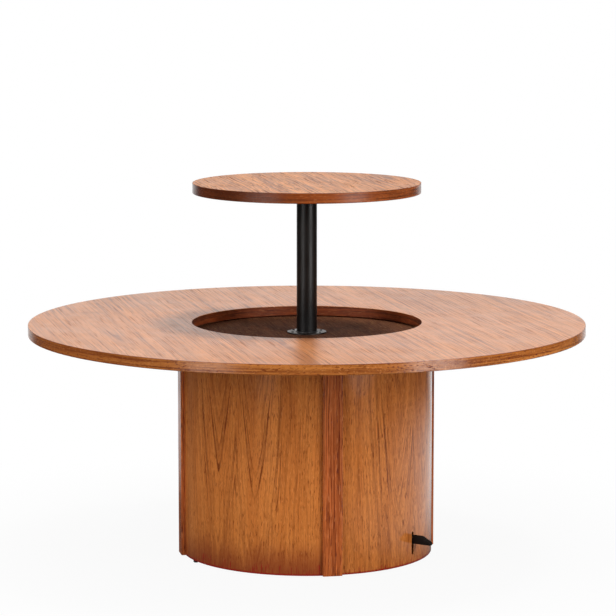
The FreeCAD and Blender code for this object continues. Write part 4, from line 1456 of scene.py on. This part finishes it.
@dataclass
class Studio:
    """Floor, light and camera, in the photograph's place."""

    turn_deg: float = 33.7
    back: float = 8.929
    aside: float = 0.0037
    height: float = 2.003
    tilt_deg: float = 7.85
    lens: float = 168.75
    sensor: float = 36.0
    view_end: float = 500.0
    ambient: float = 0.05
    backdrop_span: Span = (0.70, 0.95)
    floor_radius: float = 40.0
    paper_grey: float = 0.36
    painted_light_reach: Span = (1.8, 3.8)
    painted_light_aside: Span = (0.2, 0.9)
    painted_light_beyond: Span = (-2.0, 0.5)
    shadow_reach: Span = (0.4, 1.8)
    shadow_clear: float = 0.94
    mirror_least: float = 0.06
    aim: tuple[float, float, float] = (0.0, 0.0, 0.7)
    lamps: tuple[SoftBox, ...] = (
        SoftBox("over", 2.5, -0.9, 12.0, 2.3, 2.3, 850.0),
        SoftBox("right", 3.2, 3.4, 2.4, 1.6, 2.4, 142.0),
        SoftBox("left", -3.5, 3.1, 2.4, 1.8, 2.4, 132.0),
        SoftBox("right_low", 4.0, 3.48, 0.22, 2.1, 0.4, 30.0),
        SoftBox("left_low", -3.12, 4.29, 0.22, 1.7, 0.4, 12.0),
        SoftBox("behind", 0.3, -4.4, 0.8, 2.6, 1.2, 55.0, mirrored=False),
    )

    def spot(self, right: float, near: float, up: float) -> Vector:
        """Give a place as the camera sees it.

        Args:
            right: Metres to the picture's right of the table's middle.
            near: Metres towards the camera.
            up: Metres above the floor.

        Returns:
            The place in the row frame.
        """
        turn = math.radians(self.turn_deg)
        x = right * math.cos(turn) + near * math.sin(turn)
        y = right * math.sin(turn) - near * math.cos(turn)
        return Vector((x, y, up))

    def camera(self) -> None:
        """Place the camera."""
        data = bpy.data.cameras.new("camera")
        data.lens = self.lens
        data.sensor_width = self.sensor
        data.clip_end = self.view_end
        camera = bpy.data.objects.new("camera", data)
        camera.location = self.spot(self.aside, self.back, self.height)
        camera.rotation_euler = (math.radians(90.0 - self.tilt_deg), 0.0, math.radians(self.turn_deg))
        bpy.context.scene.collection.objects.link(camera)
        bpy.context.scene.camera = camera

    def hang(self, box: SoftBox) -> None:
        """Hang a soft lamp that points at the table.

        Args:
            box: The lamp.
        """
        data = bpy.data.lights.new(box.name, "AREA")
        data.shape = "RECTANGLE"
        data.size = box.width
        data.size_y = box.height
        data.energy = box.power
        lamp = bpy.data.objects.new(box.name, data)
        lamp.location = self.spot(box.right, box.near, box.up)
        lamp.rotation_euler = (Vector(self.aim) - lamp.location).to_track_quat("-Z", "Y").to_euler()
        lamp.visible_camera = False
        lamp.visible_glossy = box.mirrored
        bpy.context.scene.collection.objects.link(lamp)

    def backdrop(self, graph: Graph, vector: Socket) -> tuple[Socket, ...]:
        """Find the white backdrop, which stands beyond the table as the camera sees it.

        Args:
            graph: The node tree to work in.
            vector: A place on the floor, or a direction.

        Returns:
            How white it is there, then metres to the picture's right, away from the camera and from the axis.
        """
        turn = math.radians(self.turn_deg)
        x, y, _ = graph.split(vector)
        beyond = graph.maths("MULTIPLY_ADD", y, math.cos(turn), graph.maths("MULTIPLY", x, -math.sin(turn)))
        aside = graph.maths("MULTIPLY_ADD", y, math.sin(turn), graph.maths("MULTIPLY", x, math.cos(turn)))
        reach = graph.reach(x, y)
        white = graph.spread(graph.maths("DIVIDE", beyond, reach), *self.backdrop_span)
        return white, aside, beyond, reach

    @staticmethod
    def mirrored(graph: Graph) -> Socket:
        """Tell the rays that metal, lacquer and glass send on: 1 for them, 0 for all others."""
        path = graph.add("LightPath")
        return graph.maths("MAXIMUM", path.outputs["Is Glossy Ray"], path.outputs["Is Transmission Ray"])

    @staticmethod
    def mix(graph: Graph, share: Signal, first: Socket, second: Socket) -> Socket:
        """Mix two shaders.

        Args:
            graph: The node tree to work in.
            share: How much of the second shader.
            first: The first shader.
            second: The second shader.

        Returns:
            The mixed shader.
        """
        node = graph.add("MixShader")
        for socket, signal in zip(node.inputs, (share, first, second)):
            graph.feed(socket, signal)
        return node.outputs[0]

    def world(self) -> None:
        """Surround the table with a dim room and a backdrop that is white wherever it is seen or mirrored."""
        world = bpy.data.worlds.new("studio")
        bpy.context.scene.world = world
        graph = Graph(world)
        backdrop, *_ = self.backdrop(graph, graph.add("TexCoord").outputs["Generated"])
        soft = graph.add("Background")
        soft.inputs["Strength"].default_value = self.ambient
        white = graph.add("Background")
        for background in (soft, white):
            background.inputs["Color"].default_value = (1.0, 1.0, 1.0, 1.0)
        camera_ray = graph.add("LightPath").outputs["Is Camera Ray"]
        seen = graph.maths("MULTIPLY_ADD", self.mirrored(graph), backdrop, camera_ray)
        room = self.mix(graph, seen, soft.outputs[0], white.outputs[0])
        graph.feed(graph.add("OutputWorld").inputs["Surface"], room)

    def floor(self) -> None:
        """Lay the pale floor, which keeps a faint shadow."""
        form = bmesh.new()
        bmesh.ops.create_circle(form, cap_ends=True, radius=self.floor_radius, segments=RING_STEPS)
        mesh = bpy.data.meshes.new("floor")
        form.to_mesh(mesh)
        form.free()
        mesh.materials.append(self.paper())
        floor = bpy.data.objects.new("floor", mesh)
        bpy.context.scene.collection.objects.link(floor)

    def paper(self) -> bpy.types.Material:
        """Make the floor's paper, nearly white to the camera; mirrored, it glows with a painted pool of
        light.

        Returns:
            The finished material.
        """
        graph = Graph.material("floor_paper")
        backdrop, aside, beyond, reach = self.backdrop(graph, graph.place())
        # Painted light: a pool of light on the paper to the right, seen only in mirrors, stands in for
        # lamplight.
        painted_light = graph.maths(
            "MULTIPLY", graph.spread(aside, *self.painted_light_aside), graph.spread(beyond, *self.painted_light_beyond)
        )
        painted_light = graph.maths("MULTIPLY", painted_light, graph.spread(reach, *self.painted_light_reach, 1.0, 0.0))
        paper = graph.add("BsdfDiffuse")
        paper.inputs["Color"].default_value = (self.paper_grey, self.paper_grey, self.paper_grey, 1.0)
        white = graph.add("Emission")
        clear = graph.spread(reach, *self.shadow_reach, self.shadow_clear, 1.0)
        seen = graph.maths("MULTIPLY", graph.add("LightPath").outputs["Is Camera Ray"], clear)
        mirror = graph.add("Emission")
        shown = graph.maths("MAXIMUM", graph.maths("MAXIMUM", backdrop, painted_light), self.mirror_least)
        graph.feed(mirror.inputs["Strength"], shown)
        ground = self.mix(graph, seen, paper.outputs[0], white.outputs[0])
        ground = self.mix(graph, self.mirrored(graph), ground, mirror.outputs[0])
        graph.feed(graph.add("OutputMaterial").inputs["Surface"], ground)
        return graph.owner

    def build(self) -> None:
        """Set up the whole studio."""
        bpy.context.scene.view_settings.view_transform = "Standard"
        self.camera()
        self.world()
        self.floor()
        for box in self.lamps:
            self.hang(box)
        LOG.info("studio set")


def main() -> None:
    """Build the sub-assemblies in order, dress them and set the studio."""
    logging.basicConfig(level=logging.INFO, format="%(name)s: %(message)s")
    Studio().build()
    for assembly in (TableTop(), Drum(), Lift(), Susan(), Pedal()):
        assembly.build()
        assembly.dress()


if __name__ == "__main__":
    main()
